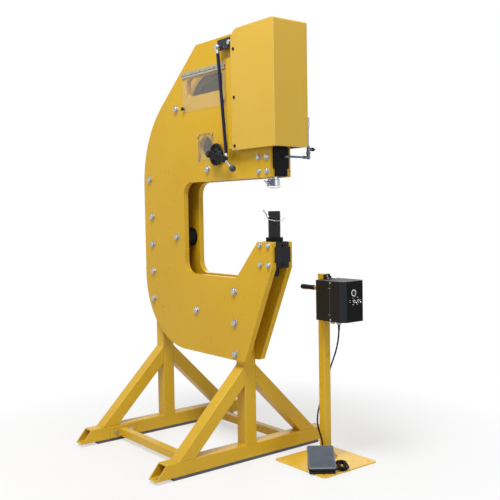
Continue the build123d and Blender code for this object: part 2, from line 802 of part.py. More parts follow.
def lower_die_post():
    body = rod_z(TOOL_X, 0, POST_Z, POST_R)
    body = chamfer(body.edges().filter_by(GeomType.CIRCLE).sort_by(Axis.Z)[-1], TOOL_CHAMFER)
    body += rod_z(TOOL_X, 0, (SHANK_BOTTOM, POST_Z[0]), SHANK_R)
    body -= rod_z(TOOL_X, 0, (LOWER_SOCKET_BOTTOM, POST_Z[1] + PASS), SOCKET_R)
    return body - rod_y(TOOL_X, (-POST_R - PASS, POST_R + PASS), LOWER_PIN_Z, PIN_R + RUN)


def height_collar():
    ring = rod_z(TOOL_X, 0, COLLAR_Z, COLLAR_R)
    ring = chamfer(ring.edges().filter_by(GeomType.CIRCLE), TOOL_CHAMFER)
    ring -= rod_z(TOOL_X, 0, (COLLAR_Z[0] - PASS, COLLAR_Z[1] + PASS), SHANK_R + RUN)
    slot = Pos(COLLAR_R, 0, 0) * Box(2 * COLLAR_SLOT_DEPTH, COLLAR_SLOT_W, COLLAR_R)
    centre = Pos(TOOL_X, 0, sum(COLLAR_Z) / 2)
    return ring - [centre * Rot(0, 0, i * 360 / COLLAR_SLOTS) * slot for i in range(COLLAR_SLOTS)]


# Rocker drive

def rear_pin():
    return (ROCKER[0] - ROCKER_ARM, ROCKER[1])


def front_pin():
    return (ROCKER[0] + ROCKER_ARM, ROCKER[1])


def rocker_beam():
    face = disc(ROCKER, ROCKER_HUB_R) + bar_face(rear_pin(), front_pin(), ROCKER_DEPTH)
    for pin in (rear_pin(), front_pin()):
        face += disc(pin, ROCKER_DEPTH / 2)
    for pin in (rear_pin(), front_pin()):
        face -= disc(pin, ROCKER_PIN_R)
    return slab(face - disc(ROCKER, ROCKER_BORE_R), (-ROCKER_HALF_T, ROCKER_HALF_T))


def rocker_pins():
    rear = slab(disc(rear_pin(), ROCKER_PIN_R), (-ROCKER_HALF_T - ROCKER_PIN_TIP, ROD_Y[1] + ROCKER_PIN_TIP))
    front = slab(disc(front_pin(), ROCKER_PIN_R), (-RAM_HEAD_HALF + PASS, RAM_HEAD_HALF - PASS))
    return group([rear, front])


def connecting_rod():
    face = disc(FLYWHEEL, STRAP_OUTER_R) + bar_face(FLYWHEEL, rear_pin(), ROD_W)
    face += disc(rear_pin(), ROD_EYE_R)
    face -= disc(FLYWHEEL, STRAP_INNER_R)
    return slab(face - disc(rear_pin(), ROCKER_PIN_R + RUN), ROD_Y)


def eccentric():
    seat = (FLYWHEEL[0] + STROKE_HALF, FLYWHEEL[1])
    face = disc(seat, ECCENTRIC_R) - disc(FLYWHEEL, AXLE_R + AXLE_ROOM)
    return slab(face, (FLYWHEEL_Y[1], ROD_Y[1] + ROD_PLAY))


def grooved_wheel(centre, r, y):
    wheel = slab(disc(centre, r), y)
    groove = disc(centre, r + PASS) - disc(centre, r - GROOVE_DEPTH)
    return wheel - slab(groove, (BELT_Y - GROOVE_HALF, BELT_Y + GROOVE_HALF))


def flywheel():
    wheel = grooved_wheel(FLYWHEEL, FLYWHEEL_R, FLYWHEEL_Y)
    web = disc(FLYWHEEL, RIM_INNER_R) - disc(FLYWHEEL, HUB_R)
    wheel -= slab(web, (FLYWHEEL_Y[0] - PASS, FLYWHEEL_Y[0] + WEB_DEPTH))
    return wheel - slab(disc(FLYWHEEL, BEARING_R), (FLYWHEEL_Y[0] - PASS, FLYWHEEL_Y[1] + PASS))


def flywheel_bearings():
    ring = disc(FLYWHEEL, BEARING_R) - disc(FLYWHEEL, AXLE_R + RUN)
    return group(slab(ring, y) for y in BEARINGS_Y)


def flywheel_axle():
    """Fixed axle with a flange outside the far plate and a cap that keeps the wheel on."""
    end = OUTER + AXLE_FLANGE_T
    axle = slab(disc(FLYWHEEL, AXLE_R), (AXLE_CAP_Y[0], end))
    axle += slab(disc(FLYWHEEL, AXLE_FLANGE_R), (OUTER, end))
    return axle + slab(disc(FLYWHEEL, AXLE_CAP_R), AXLE_CAP_Y)


def motor():
    """Finned motor on the far plate, with a fan cowl and a terminal box."""
    flange_end = OUTER + MOTOR_FLANGE_T
    cowl = MOTOR_END - MOTOR_COWL_L
    middle = (flange_end + cowl) / 2
    body = slab(disc(MOTOR, MOTOR_FLANGE_R), (OUTER, flange_end))
    body += slab(disc(MOTOR, MOTOR_CORE_R), (flange_end, cowl))
    body += slab(disc(MOTOR, MOTOR_R), (cowl, MOTOR_END))
    fin = Pos(MOTOR_R - FIN_HEIGHT / 2, 0, 0) * Box(FIN_HEIGHT, cowl - flange_end - 2 * FIN_END, FIN_T)
    centre = Pos(MOTOR[0], middle, MOTOR[1])
    body += [centre * Rot(0, i * 360 / MOTOR_FINS, 0) * fin for i in range(MOTOR_FINS)]
    half_x, half_y = TERMINAL_HALF
    body += block((MOTOR[0] - half_x, MOTOR[0] + half_x), (middle - half_y, middle + half_y),
                  (MOTOR[1] + TERMINAL_Z[0], MOTOR[1] + TERMINAL_Z[1]))
    return body - slab(disc(MOTOR, MOTOR_SHAFT_R + RUN), (OUTER - PASS, flange_end + MOTOR_BORE))


def motor_pulley():
    """Grooved pulley with the motor shaft that carries it."""
    wheel = grooved_wheel(MOTOR, PULLEY_R, FLYWHEEL_Y)
    shaft_y = (FLYWHEEL_Y[0] - SHAFT_TIP, OUTER + MOTOR_FLANGE_T + MOTOR_BORE - PASS)
    return wheel + slab(disc(MOTOR, MOTOR_SHAFT_R), shaft_y)


def belt_face(inset):
    """Face inside a tight loop round both wheels, a given depth below their rims."""
    big = Vector(*FLYWHEEL)
    small = Vector(*MOTOR)
    big_r = FLYWHEEL_R - inset
    small_r = PULLEY_R - inset
    run = small - big
    along = run.normalized()
    across = Vector(-along.Y, along.X)
    lean = (big_r - small_r) / run.length
    rise = math.sqrt(1 - lean * lean)
    left = along * lean + across * rise
    right = along * lean - across * rise
    edges = [
        Line(big + left * big_r, small + left * small_r),
        ThreePointArc(small + left * small_r, small + along * small_r, small + right * small_r),
        Line(small + right * small_r, big + right * big_r),
        ThreePointArc(big + right * big_r, big - along * big_r, big + left * big_r),
    ]
    return make_face(edges)


def drive_belt():
    face = belt_face(BELT_INSET) - belt_face(BELT_INSET + BELT_DEPTH)
    return slab(face, (BELT_Y - BELT_HALF, BELT_Y + BELT_HALF))


# Front cover and guards

def front_cover():
    """Sheet cover, open at the back and below, with a return flange round its lower edge."""
    side = outline([
        (COVER_X[0], COVER_Z[0], 0), (COVER_X[1], COVER_Z[0], 0),
        (COVER_X[1], COVER_Z[1], COVER_EDGE_R), (COVER_X[0], COVER_Z[1], COVER_REAR_R)])
    inner_x = COVER_X[1] - SHEET
    inner_z = COVER_Z[1] - SHEET
    hollow = outline([
        (COVER_X[0] - PASS, COVER_Z[0] - PASS, 0), (inner_x, COVER_Z[0] - PASS, 0),
        (inner_x, inner_z, COVER_EDGE_R - SHEET), (COVER_X[0] - PASS, inner_z, 0)])
    shell = slab(side, (-COVER_Y, COVER_Y)) - slab(hollow, (-COVER_INNER, COVER_INNER))
    flange_x = (COVER_X[0], COVER_X[1] - SHEET / 2)
    flange_z = (COVER_Z[0], COVER_Z[0] + SHEET)
    edge = COVER_Y - SHEET / 2
    for face in (-1, 1):
        shell += block(flange_x, spread(face, COVER_Y - COVER_FLANGE, edge), flange_z)
    shell += block((COVER_X[1] - COVER_FLANGE, flange_x[1]), (-edge, edge), flange_z)
    for z in COVER_SCREWS_Z:
        shell -= rod_y(COVER_SCREW_X, (-COVER_Y - PASS, COVER_Y + PASS), z, COVER_SCREW_R + SLACK)
    return shell


def knuckle_spans(first):
    """Every second length of the hinge barrel, starting with the given one."""
    pitch = (HINGE_X[1] - HINGE_X[0]) / KNUCKLES
    starts = [HINGE_X[0] + i * pitch for i in range(first, KNUCKLES, 2)]
    return [(start + KNUCKLE_GAP / 2, start + pitch - KNUCKLE_GAP / 2) for start in starts]


def knuckles(first):
    return [rod_x(span, *HINGE_AXIS, KNUCKLE_R) for span in knuckle_spans(first)]


def knuckle_room(first, below, above):
    """Space that one leaf leaves for the other's knuckles, below and above the hinge axis."""
    y, z = HINGE_AXIS
    reach = KNUCKLE_R + KNUCKLE_GAP + PASS
    return [block((low - KNUCKLE_GAP, high + KNUCKLE_GAP), (y - reach, y + reach), (z - below, z + above))
            for low, high in knuckle_spans(first)]


def guard_hinge():
    """Fixed hinge leaf with its knuckles and the pin through the barrel."""
    y, z = HINGE_AXIS
    leaf = block(HINGE_X, (-OUTER - LEAF_T, -OUTER), (z, HINGE_TOP))
    leaf -= knuckle_room(1, PASS, KNUCKLE_R + KNUCKLE_GAP)
    return leaf + knuckles(0) + rod_x(HINGE_X, y, z, HINGE_PIN_R)


def guard_leaf():
    y, z = HINGE_AXIS
    leaf = block(HINGE_X, (y - LEAF_T, y), (HINGE_BOTTOM, z))
    leaf -= knuckle_room(0, KNUCKLE_R + KNUCKLE_GAP, PASS)
    leaf += knuckles(1)
    return leaf - rod_x((HINGE_X[0] - PASS, HINGE_X[1] + PASS), y, z, HINGE_PIN_R + RUN)


def window_panel():
    panel = block(PANEL_X, (HINGE_AXIS[0], HINGE_AXIS[0] + PANEL_T), PANEL_Z)
    return fillet(panel.edges().filter_by(Axis.Y).sort_by(Axis.Z)[:2], PANE_R)


def guard_knobs():
    y = HINGE_AXIS[0]
    stem_r, stem_l = GUARD_KNOB_STEM
    head_r, head_l = GUARD_KNOB_HEAD
    solids = []
    for x in GUARD_KNOBS_X:
        stem = rod_y(x, (y - stem_l, y), GUARD_KNOB_Z, stem_r)
        solids.append(stem + rod_y(x, (y - stem_l - head_l, y - stem_l), GUARD_KNOB_Z, head_r))
    return group(solids)


def inspection_window():
    x, z = INSPECT
    face = rounded((x - INSPECT_HALF, x + INSPECT_HALF), (z - INSPECT_HALF, z + INSPECT_HALF), PANE_R)
    for place in inspect_screws():
        face -= disc(place, INSPECT_SCREW_R + SLACK)
    return slab(face, (-OUTER - INSPECT_T, -OUTER))


# Hand linkage

def lift_flange():
    """Flange on the near plate, with the boss and the stub that carry the lever."""
    front = -OUTER - LIFT_FLANGE_T
    flange = slab(disc(LEVER_PIVOT, LIFT_FOOT_R), (front, -OUTER))
    flange += slab(disc(LEVER_PIVOT, LIFT_FLANGE_R), (front, -OUTER - LIFT_FLANGE_GAP))
    flange += slab(disc(LEVER_PIVOT, PIVOT_BOSS_R), (LEVER_Y[1] + PASS, front))
    return flange + slab(disc(LEVER_PIVOT, PIVOT_R), (LEVER_Y[0] - PIVOT_TIP, -GAP - PIVOT_TIP))


def lift_lever():
    """Black bar on the pivot stub, with the stud of the link at its free end."""
    face = bar_face(LEVER_PIVOT, LEVER_END, LEVER_W) + disc(LEVER_PIVOT, LEVER_HUB_R)
    face += disc(LEVER_END, LEVER_W / 2)
    bar = slab(face - disc(LEVER_PIVOT, PIVOT_R + RUN), LEVER_Y)
    return bar + slab(disc(LEVER_END, STUD_R), (LEVER_Y[0] + PASS, LINK_Y[1] + PASS))


def lever_handle():
    y = sum(LEVER_Y) / 2
    run = (Vector(*BALL) - Vector(*LEVER_END)).normalized()
    start = Vector(*LEVER_END) + run * (LEVER_W / 2)
    rod = rod_between((start.X, y, start.Y), (BALL[0], y, BALL[1]), HANDLE_R)
    rod -= slab(disc(LEVER_END, LEVER_W / 2), LEVER_Y)
    return rod + Pos(BALL[0], y, BALL[1]) * Sphere(BALL_R)


def lift_link():
    """Sleeved rod with an eye at each end. The upper eye is bored wide."""
    low = Vector(*LEVER_END)
    run = Vector(*ARM_PIVOT) - low
    along = run.normalized()
    y = sum(LINK_Y) / 2
    top = run.length
    nut_low, nut_high = LINK_NUT

    def stretch(start, end, r):
        first = low + along * start
        last = low + along * end
        return rod_between((first.X, y, first.Y), (last.X, y, last.Y), r)

    link = stretch(nut_high, top - nut_high, SLEEVE_R)
    for nut in ((nut_low, nut_high), (top - nut_high, top - nut_low)):
        link += stretch(*nut, LINK_NUT_R)
    for neck in ((LINK_NECK, nut_low), (top - nut_low, top - LINK_NECK)):
        link += stretch(*neck, LINK_NECK_R)
    link += slab(disc(LEVER_END, LINK_EYE_R), LINK_Y) + slab(disc(ARM_PIVOT, LINK_OPEN_EYE_R), LINK_Y)
    through = (LINK_Y[0] - PASS, LINK_Y[1] + PASS)
    link -= slab(disc(LEVER_END, STUD_R + RUN), through)
    return link - slab(disc(ARM_PIVOT, LINK_OPEN_R), through)


def lift_shaft():
    """Cross shaft with the off-centre seat that carries the rocker."""
    end = OUTER + SHAFT_COLLAR_T
    shaft = slab(disc(LIFT_SHAFT, LIFT_SHAFT_R), (ARM_Y[0] - SHAFT_TIP, end))
    shaft += slab(disc(ROCKER, LIFT_SEAT_R), (-LIFT_SEAT_HALF, LIFT_SEAT_HALF))
    shaft += slab(disc(LIFT_SHAFT, SHAFT_COLLAR_R), (ARM_Y[1], -OUTER - SLACK))
    return shaft + slab(disc(LIFT_SHAFT, SHAFT_COLLAR_R), (OUTER + SLACK, end))


def lift_arm():
    z = (LIFT_SHAFT[1] - ARM_HALF, LIFT_SHAFT[1] + ARM_HALF)
    arm = slab(rounded(ARM_X, z, ARM_R) - disc(LIFT_SHAFT, LIFT_SHAFT_R), ARM_Y)
    tip = LINK_Y[0] - STUD_TIP
    arm += slab(disc(ARM_PIVOT, STUD_R), (tip, ARM_Y[0]))
    arm += slab(disc(ARM_PIVOT, STUD_NUT_R), (tip, LINK_Y[0] - PASS))
    return arm + hex_y(ARM_BOLT_X, (ARM_Y[0] - ARM_BOLT_T, ARM_Y[0]), LIFT_SHAFT[1], SCREW_AF)


# Drip oiler

def drip_oiler():
    """Pipe from the ram guide, with an elbow, a needle valve and a clear sleeve on top."""
    x, y = OILER
    pipe = rod_x((PLATE_FRONT + LIP_T, x + OILER_PORT_REACH), OILER_PORT_Y, OILER_Z, OILER_PORT_R)
    pipe += rod_y(x, (OILER_PORT_Y, y), OILER_Z, OILER_PIPE_R)
    pipe += Pos(x, y, OILER_Z) * Box(OILER_ELBOW, OILER_ELBOW, OILER_ELBOW)
    pipe += rod_z(x, y, (OILER_Z, OILER_BODY_TOP), OILER_BODY_R)
    pipe += rod_y(x, (y, y + VALVE_PORT_L), VALVE_Z, VALVE_PORT_R)
    pipe += rod_z(x, y, (OILER_BODY_TOP - PASS, OILER_TUBE_TOP), OILER_TUBE_R)
    pipe -= rod_y(x, (y + VALVE_SEAT, y + VALVE_PORT_L + PASS), VALVE_Z, VALVE_STEM_R + RUN)
    sleeve = rod_z(x, y, (OILER_TUBE_TOP, OIL_SLEEVE_TOP), OIL_SLEEVE_R)
    return group(pipe.solids() + [sleeve])


def oil_valve_knob():
    x, y = OILER
    grip = (y + VALVE_PORT_L + SLACK, y + VALVE_KNOB_END)
    knob = rod_y(x, (y + VALVE_SEAT + PASS, grip[0] + PASS), VALVE_Z, VALVE_STEM_R)
    knob += rod_y(x, grip, VALVE_Z, VALVE_KNOB_R)
    tip = Cone(VALVE_KNOB_R, VALVE_STEM_R, VALVE_TIP_L)
    knob += Pos(x, grip[1] + VALVE_TIP_L / 2, VALVE_Z) * Rot(-90, 0, 0) * tip
    flat = Pos(VALVE_FLAT_R, 0, 0) * Box(*VALVE_FLAT)
    centre = Pos(x, y + VALVE_FLAT_Y, VALVE_Z)
    return knob - [centre * Rot(0, i * 360 / VALVE_FLATS, 0) * flat for i in range(VALVE_FLATS)]


# Control pedestal

def pedestal_plate():
    face = Pos(*BASE_C) * RectangleRounded(BASE, BASE, BASE_R)
    for i in (-1, 1):
        for k in (-1, 1):
            face -= disc((BASE_C[0] + i * BASE_HOLE_HALF, BASE_C[1] + k * BASE_HOLE_HALF), BASE_HOLE_R)
    return extrude(face, BASE_T)


def pedestal_pole():
    """Square pole with a closed top and a gusset on each side of its foot."""
    wall = SMALL_TUBE_WALL
    pole = Pos(*POLE_C, BASE_T) * extrude(tube_face(POLE, wall, SMALL_TUBE_R), POLE_TOP - BASE_T)
    pole += Pos(*POLE_C, POLE_TOP - wall) * extrude(RectangleRounded(POLE, POLE, SMALL_TUBE_R), wall)
    reach, height = GUSSET
    for side in (-1, 1):
        foot = POLE_C[1] + side * POLE / 2
        toe = foot + side * reach
        gusset = Polygon((foot, BASE_T), (toe, BASE_T), (toe, BASE_T + GUSSET_TOE), (foot, BASE_T + height),
                         align=None)
        pole += Pos(POLE_C[0] - GUSSET_T / 2, 0, 0) * extrude(Plane.YZ * gusset, GUSSET_T, dir=(1, 0, 0))
    return pole


def pedestal_grip():
    """Hand grip that points to the rear, on a long ferrule at the pole."""
    face = POLE_C[0] - POLE / 2
    seat = face - GRIP_COLLAR_L
    grip = rod_x((face - GRIP_L, seat), POLE_C[1], GRIP_Z, GRIP_R)
    grip = fillet(grip.edges().filter_by(GeomType.CIRCLE).sort_by(Axis.X)[0], GRIP_ROUND)
    return grip + rod_x((seat, face), POLE_C[1], GRIP_Z, GRIP_COLLAR_R)


def case_shell(corners, inner):
    body = Pos(0, 0, CASE_Z[0]) * extrude(outline(corners), CASE_Z[1] - CASE_Z[0])
    height = CASE_Z[1] - CASE_Z[0] - 2 * CASE_WALL
    return body - Pos(0, 0, CASE_Z[0] + CASE_WALL) * extrude(outline(inner), height)


def drive_case():
    """Rear half of the box, open to the front, with a pad against the pole."""
    wall = CASE_WALL
    rear, split = CASE_X[0], CASE_SPLIT
    low, high = CASE_Y
    inner_r = CASE_REAR_R - wall
    shell = case_shell(
        [(split, low, 0), (split, high, 0), (rear, high, CASE_REAR_R), (rear, low, CASE_REAR_R)],
        [(split + PASS, low + wall, 0), (split + PASS, high - wall, 0),
         (rear + wall, high - wall, inner_r), (rear + wall, low + wall, inner_r)])
    pad_y = (POLE_C[1] - CASE_PAD_HALF, POLE_C[1] + CASE_PAD_HALF)
    pad_z = (CASE_Z[0] + CASE_PAD_INSET, CASE_Z[1] - CASE_PAD_INSET)
    shell += block((POLE_C[0] + POLE / 2, rear), pad_y, pad_z)
    for x in GLANDS_X:
        shell -= rod_z(x, POLE_C[1], (CASE_Z[0] - PASS, CASE_Z[0] + wall + PASS), GLAND_R + SLACK)
    return shell


def drive_cover():
    """Front half with bevelled uprights, a dial ring and two switch collars."""
    wall, bevel, r = CASE_WALL, CASE_BEVEL, CASE_FRONT_R
    front, split = CASE_X[1], CASE_SPLIT
    low, high = CASE_Y
    inner_bevel = bevel + PASS
    shell = case_shell(
        [(split, low, 0), (front - bevel, low, r), (front, low + bevel, r),
         (front, high - bevel, r), (front - bevel, high, r), (split, high, 0)],
        [(split - PASS, low + wall, 0), (front - inner_bevel, low + wall, 0),
         (front - wall, low + inner_bevel, 0), (front - wall, high - inner_bevel, 0),
         (front - inner_bevel, high - wall, 0), (split - PASS, high - wall, 0)])
    shell += rod_x((front, front + DIAL_T), *KNOB_YZ, DIAL_R)
    shell -= rod_x((front - wall - PASS, front + DIAL_T + PASS), *KNOB_YZ, KNOB_STEM_R + RUN)
    for place in SWITCHES_YZ:
        shell += rod_x((front - PASS, front + SWITCH_COLLAR_L), *place, SWITCH_COLLAR_R)
        shell -= rod_x((front - wall - PASS, front + SWITCH_COLLAR_L + PASS), *place, SWITCH_BORE_R)
    return shell


def drive_board():
    """Circuit board on standoffs, with a heatsink and a row of capacitors."""
    wall_x = CASE_X[0] + CASE_WALL
    margin_y, margin_z = BOARD_MARGIN
    y = (CASE_Y[0] + margin_y, CASE_Y[1] - margin_y)
    z = (CASE_Z[0] + margin_z, CASE_Z[1] - margin_z)
    back = wall_x + STANDOFF_L
    front = back + BOARD_T
    board = block((back, front), y, z)
    for post_y in (y[0] + STANDOFF_INSET, y[1] - STANDOFF_INSET):
        for post_z in (z[0] + STANDOFF_INSET, z[1] - STANDOFF_INSET):
            board += rod_x((wall_x, back), post_y, post_z, STANDOFF_R)
    depth, width, height = HEATSINK
    sink_y = y[0] + HEATSINK_AT[0]
    sink_z = z[0] + HEATSINK_AT[1]
    board += block((front, front + depth), (sink_y, sink_y + width), (sink_z, sink_z + height))
    for i in range(CAPACITORS):
        cap_z = z[0] + CAPACITOR_AT[1] + i * CAPACITOR_PITCH
        board += rod_x((front, front + CAPACITOR_L), y[1] - CAPACITOR_AT[0], cap_z, CAPACITOR_R)
    return board


def cable_glands():
    solids = []
    floor = CASE_Z[0]
    nut_low = floor - GLAND_NUT_L
    for x in GLANDS_X:
        gland = rod_z(x, POLE_C[1], (nut_low, floor + GLAND_THREAD_L), GLAND_R)
        gland += Pos(x, POLE_C[1], nut_low) * extrude(RegularPolygon(GLAND_NUT_R, 6), GLAND_NUT_L)
        solids.append(gland + rod_z(x, POLE_C[1], (GLAND_BOTTOM, nut_low + PASS), GLAND_BODY_R))
    return group(solids)


def speed_knob():
    """Round knob with a pointer groove, stored at its lowest setting."""
    back = CASE_X[1] + DIAL_T + SLACK
    face = back + KNOB_L
    y, z = KNOB_YZ
    knob = rod_x((back, face), y, z, KNOB_R)
    knob = chamfer(knob.edges().filter_by(GeomType.CIRCLE).sort_by(Axis.X)[-1], KNOB_CHAMFER)
    width, length, depth = POINTER
    groove_z = (z + KNOB_R - length, z + KNOB_R + PASS)
    knob -= block((face - depth, face + PASS), (y - width / 2, y + width / 2), groove_z)
    return knob + rod_x((back - KNOB_STEM_L, back + PASS), y, z, KNOB_STEM_R)


def toggle(place):
    """Tapered switch lever, stored tilted down."""
    root, tip = TOGGLE_REACH
    lever = Pos((root + tip) / 2, 0, 0) * Rot(0, 90, 0) * Cone(TOGGLE_ROOT_R, TOGGLE_TIP_R, tip - root)
    for x in TOGGLE_REACH:
        lever += Pos(x, 0, 0) * Sphere(TOGGLE_BALL_R)
    return Pos(CASE_X[1] + TOGGLE_PIVOT, *place) * Rot(0, TOGGLE_TILT, 0) * lever


# Foot switch

def pedal_frame():
    return Pos(PEDAL_FRONT[0], PEDAL_FRONT[1], BASE_T) * Rot(0, 0, PEDAL_TURN)


def pedal_wedge(half, points):
    """Solid across the pedal from (depth, height) points."""
    return Pos(-half, 0, 0) * extrude(Plane.YZ * Polygon(*points, align=None), 2 * half, dir=(1, 0, 0))


def treadle_height(depth, drop=0.0):
    """Height of the treadle's top, or of the plane it comes down to."""
    return PEDAL_FRONT_H + depth * math.tan(math.radians(PEDAL_SLOPE - drop))


def pedal_base():
    """Open tray with sloping walls, the hinge pin and the strain relief of the cord."""
    wall = PEDAL_WALL
    half = PEDAL_W / 2 - PEDAL_SIDE_GAP
    under = TREADLE_T / math.cos(math.radians(PEDAL_SLOPE)) + PEDAL_UNDER_GAP
    rear_top = treadle_height(PEDAL_L, PEDAL_TRAVEL) - under
    front_top = PEDAL_FRONT_H - under - PEDAL_FRONT_GAP
    body = pedal_wedge(half, [(0, 0), (PEDAL_L, 0), (PEDAL_L, rear_top), (0, front_top)])
    body -= pedal_wedge(half - wall, [
        (wall, wall), (PEDAL_L - wall, wall), (PEDAL_L - wall, PEDAL_L), (wall, PEDAL_L)])
    body += rod_x((-half + PASS, half - PASS), *PEDAL_HINGE, PEDAL_PIN_R)
    height = CORD_FLOOR + CORD_LAYER - BASE_T
    body += rod_x((half - PASS, PEDAL_W / 2 + PEDAL_PORT_L), PEDAL_PORT_Y, height, PEDAL_PORT_R)
    return pedal_frame() * body


def pedal_treadle():
    half = PEDAL_W / 2
    low = PEDAL_FRONT_H - TREADLE_T / math.cos(math.radians(PEDAL_SLOPE))
    rear = PEDAL_L - PASS
    rise = rear * math.tan(math.radians(PEDAL_SLOPE))
    top = pedal_wedge(half, [(0, low), (rear, low + rise), (rear, PEDAL_FRONT_H + rise), (0, PEDAL_FRONT_H)])
    y, z = PEDAL_HINGE
    front_top, rear_top = PEDAL_LUG_TOP
    top += rod_x((-PEDAL_LUG_HALF, PEDAL_LUG_HALF), y, z, PEDAL_LUG_R)
    top += pedal_wedge(PEDAL_LUG_HALF, [
        (y - PEDAL_LUG_WEB, z), (y + PEDAL_LUG_WEB, z),
        (y + PEDAL_LUG_WEB, rear_top), (y - PEDAL_LUG_WEB, front_top)])
    return pedal_frame() * (top - rod_x((-half, half), y, z, PEDAL_PIN_R + RUN))


# Foot switch cord

def pedal_point(across, depth):
    """Plan position from the pedal's own across and depth directions."""
    turn = math.radians(PEDAL_TURN)
    x = PEDAL_FRONT[0] + across * math.cos(turn) - depth * math.sin(turn)
    return Vector(x, PEDAL_FRONT[1] + across * math.sin(turn) + depth * math.cos(turn))


def coil_radius(turn):
    """Radius of a half turn: the coil closes in to the reversal and opens out again."""
    return COIL_TIGHT_R + abs(turn - COIL_REVERSAL) * COIL_PITCH / 2


def coil_turns():
    """Half turns of the coil in order, as (plan centre, radius, layer)."""
    turns = []
    for i in range(COIL_HALF_TURNS):
        depth = COIL_REAR if i % 2 == 0 else COIL_FRONT
        turns.append((pedal_point(COIL_SIDE, depth), coil_radius(i), 0 if i < COIL_REVERSAL else 1))
    return turns


def coil_start():
    """Where the coil takes the cord over, and the way it runs there."""
    turn = math.radians(PEDAL_TURN)
    apex = pedal_point(COIL_SIDE, COIL_REAR + coil_radius(0))
    way = Vector(math.cos(turn), math.sin(turn))
    return apex - way * (2 * CORD_R), way


def coil_edges():
    """Arcs and runs of the coil, turning clockwise, one layer on the other."""
    start, way = coil_start()
    turns = coil_turns()
    heading = math.degrees(math.atan2(way.Y, way.X))
    edges = []

    def at(point, layer):
        return Vector(point.X, point.Y, CORD_FLOOR + layer * CORD_LAYER)

    def rim(centre, r, angle):
        """Point where a clockwise path round the centre runs in the given direction."""
        return centre + Vector(-math.sin(math.radians(angle)), math.cos(math.radians(angle))) * r

    here = at(start, 0)
    for i, (centre, r, layer) in enumerate(turns):
        arrive = at(rim(centre, r, heading), layer)
        edges += [Line(here, arrive)] if arrive.Z - here.Z < CORD_R else climb(here, arrive)
        if i + 1 < len(turns):
            ahead, next_r, _ = turns[i + 1]
            run = ahead - centre
            bearing = math.degrees(math.atan2(run.Y, run.X))
            leave = bearing + math.degrees(math.asin((next_r - r) / run.length))
        else:
            leave = math.degrees(math.atan2(-way.Y, -way.X))
        sweep_angle = (heading - leave) % 360
        middle = at(rim(centre, r, heading - sweep_angle / 2), layer)
        here = at(rim(centre, r, leave), layer)
        edges.append(ThreePointArc(arrive, middle, here))
        heading = leave
    end = pedal_point(PEDAL_W / 2 + PEDAL_PORT_L, PEDAL_PORT_Y)
    reach = (Vector(here.X, here.Y) - end).dot(way)
    edges.append(Line(here, here - Vector(way.X, way.Y, 0) * reach))
    return edges


def climb(start, end):
    """Rise from one layer to the next late along a run, on two equal arcs."""
    flat = Vector(end.X - start.X, end.Y - start.Y, 0)
    along = flat.normalized()
    up = Vector(0, 0, 1)
    length = flat.length * CLIMB_SHARE
    rise = end.Z - start.Z
    r = (length * length + rise * rise) / (4 * rise)
    quarter = math.asin(length / (2 * r)) / 2
    step = along * (r * math.sin(quarter)) + up * (r * (1 - math.cos(quarter)))
    foot = end - along * length - up * rise
    middle = (foot + end) / 2
    rising = ThreePointArc(foot, foot + step, middle)
    return [Line(start, foot), rising, ThreePointArc(middle, end - step, end)]


def cord_tube(path):
    start = Plane(origin=path @ 0, z_dir=path % 0)
    return sweep(start * Circle(CORD_R), path=path)


def cord_coil():
    path = Wire(coil_edges())
    tube = cord_tube(path)
    print("coil length", round(path.length), "gap", round(least_gap(path), 2),
          "volume ratio", round(tube.volume / (math.pi * CORD_R ** 2 * path.length), 4))
    return tube


def least_gap(path):
    """Smallest gap between the tube and a later stretch of itself."""
    count = int(path.length / GAP_STEP)
    points = [path @ (i / count) for i in range(count + 1)]
    gaps = [(points[i] - points[k]).length for i in range(count + 1) for k in range(i + GAP_SKIP, count + 1)]
    return min(gaps) - 2 * CORD_R


def cord_points():
    """Route from the gland, down and round the pole, to the coil on the base plate."""
    points = [
        (GLANDS_X[0], POLE_C[1], GLAND_BOTTOM), (GLANDS_X[0], POLE_C[1], 584), (321, 259, 510),
        (262, 279, 424), (230, 276, 338), (220, 254, 262), (232, 222, 208), (254, 203, 164), (279, 204, 116)]
    landing = [
        (16, 147, 80), (16.5, 143, 43), (27.5, 139, 21), (46, 136.5, CORD_FLOOR), (65, 135, CORD_FLOOR)]
    for across, depth, height in landing:
        spot = pedal_point(across, depth)
        points.append((spot.X, spot.Y, height))
    start, _ = coil_start()
    return points + [(start.X, start.Y, CORD_FLOOR)]


def pedal_cord():
    points = [Vector(*p) for p in cord_points()]
    radii = []
    for before, here, after in zip(points, points[1:], points[2:]):
        turn = math.radians((here - before).get_angle(after - here))
        shorter = min((here - before).length, (after - here).length)
        radii.append(CORD_BEND_SHARE * shorter / math.tan(turn / 2))
    print("cord radii", [round(r) for r in radii])
    path = FilletPolyline(*points, radius=radii)
    tube = cord_tube(path)
    print("cord length", round(path.length), "volume ratio",
          round(tube.volume / (math.pi * CORD_R ** 2 * path.length), 4))
    return tube


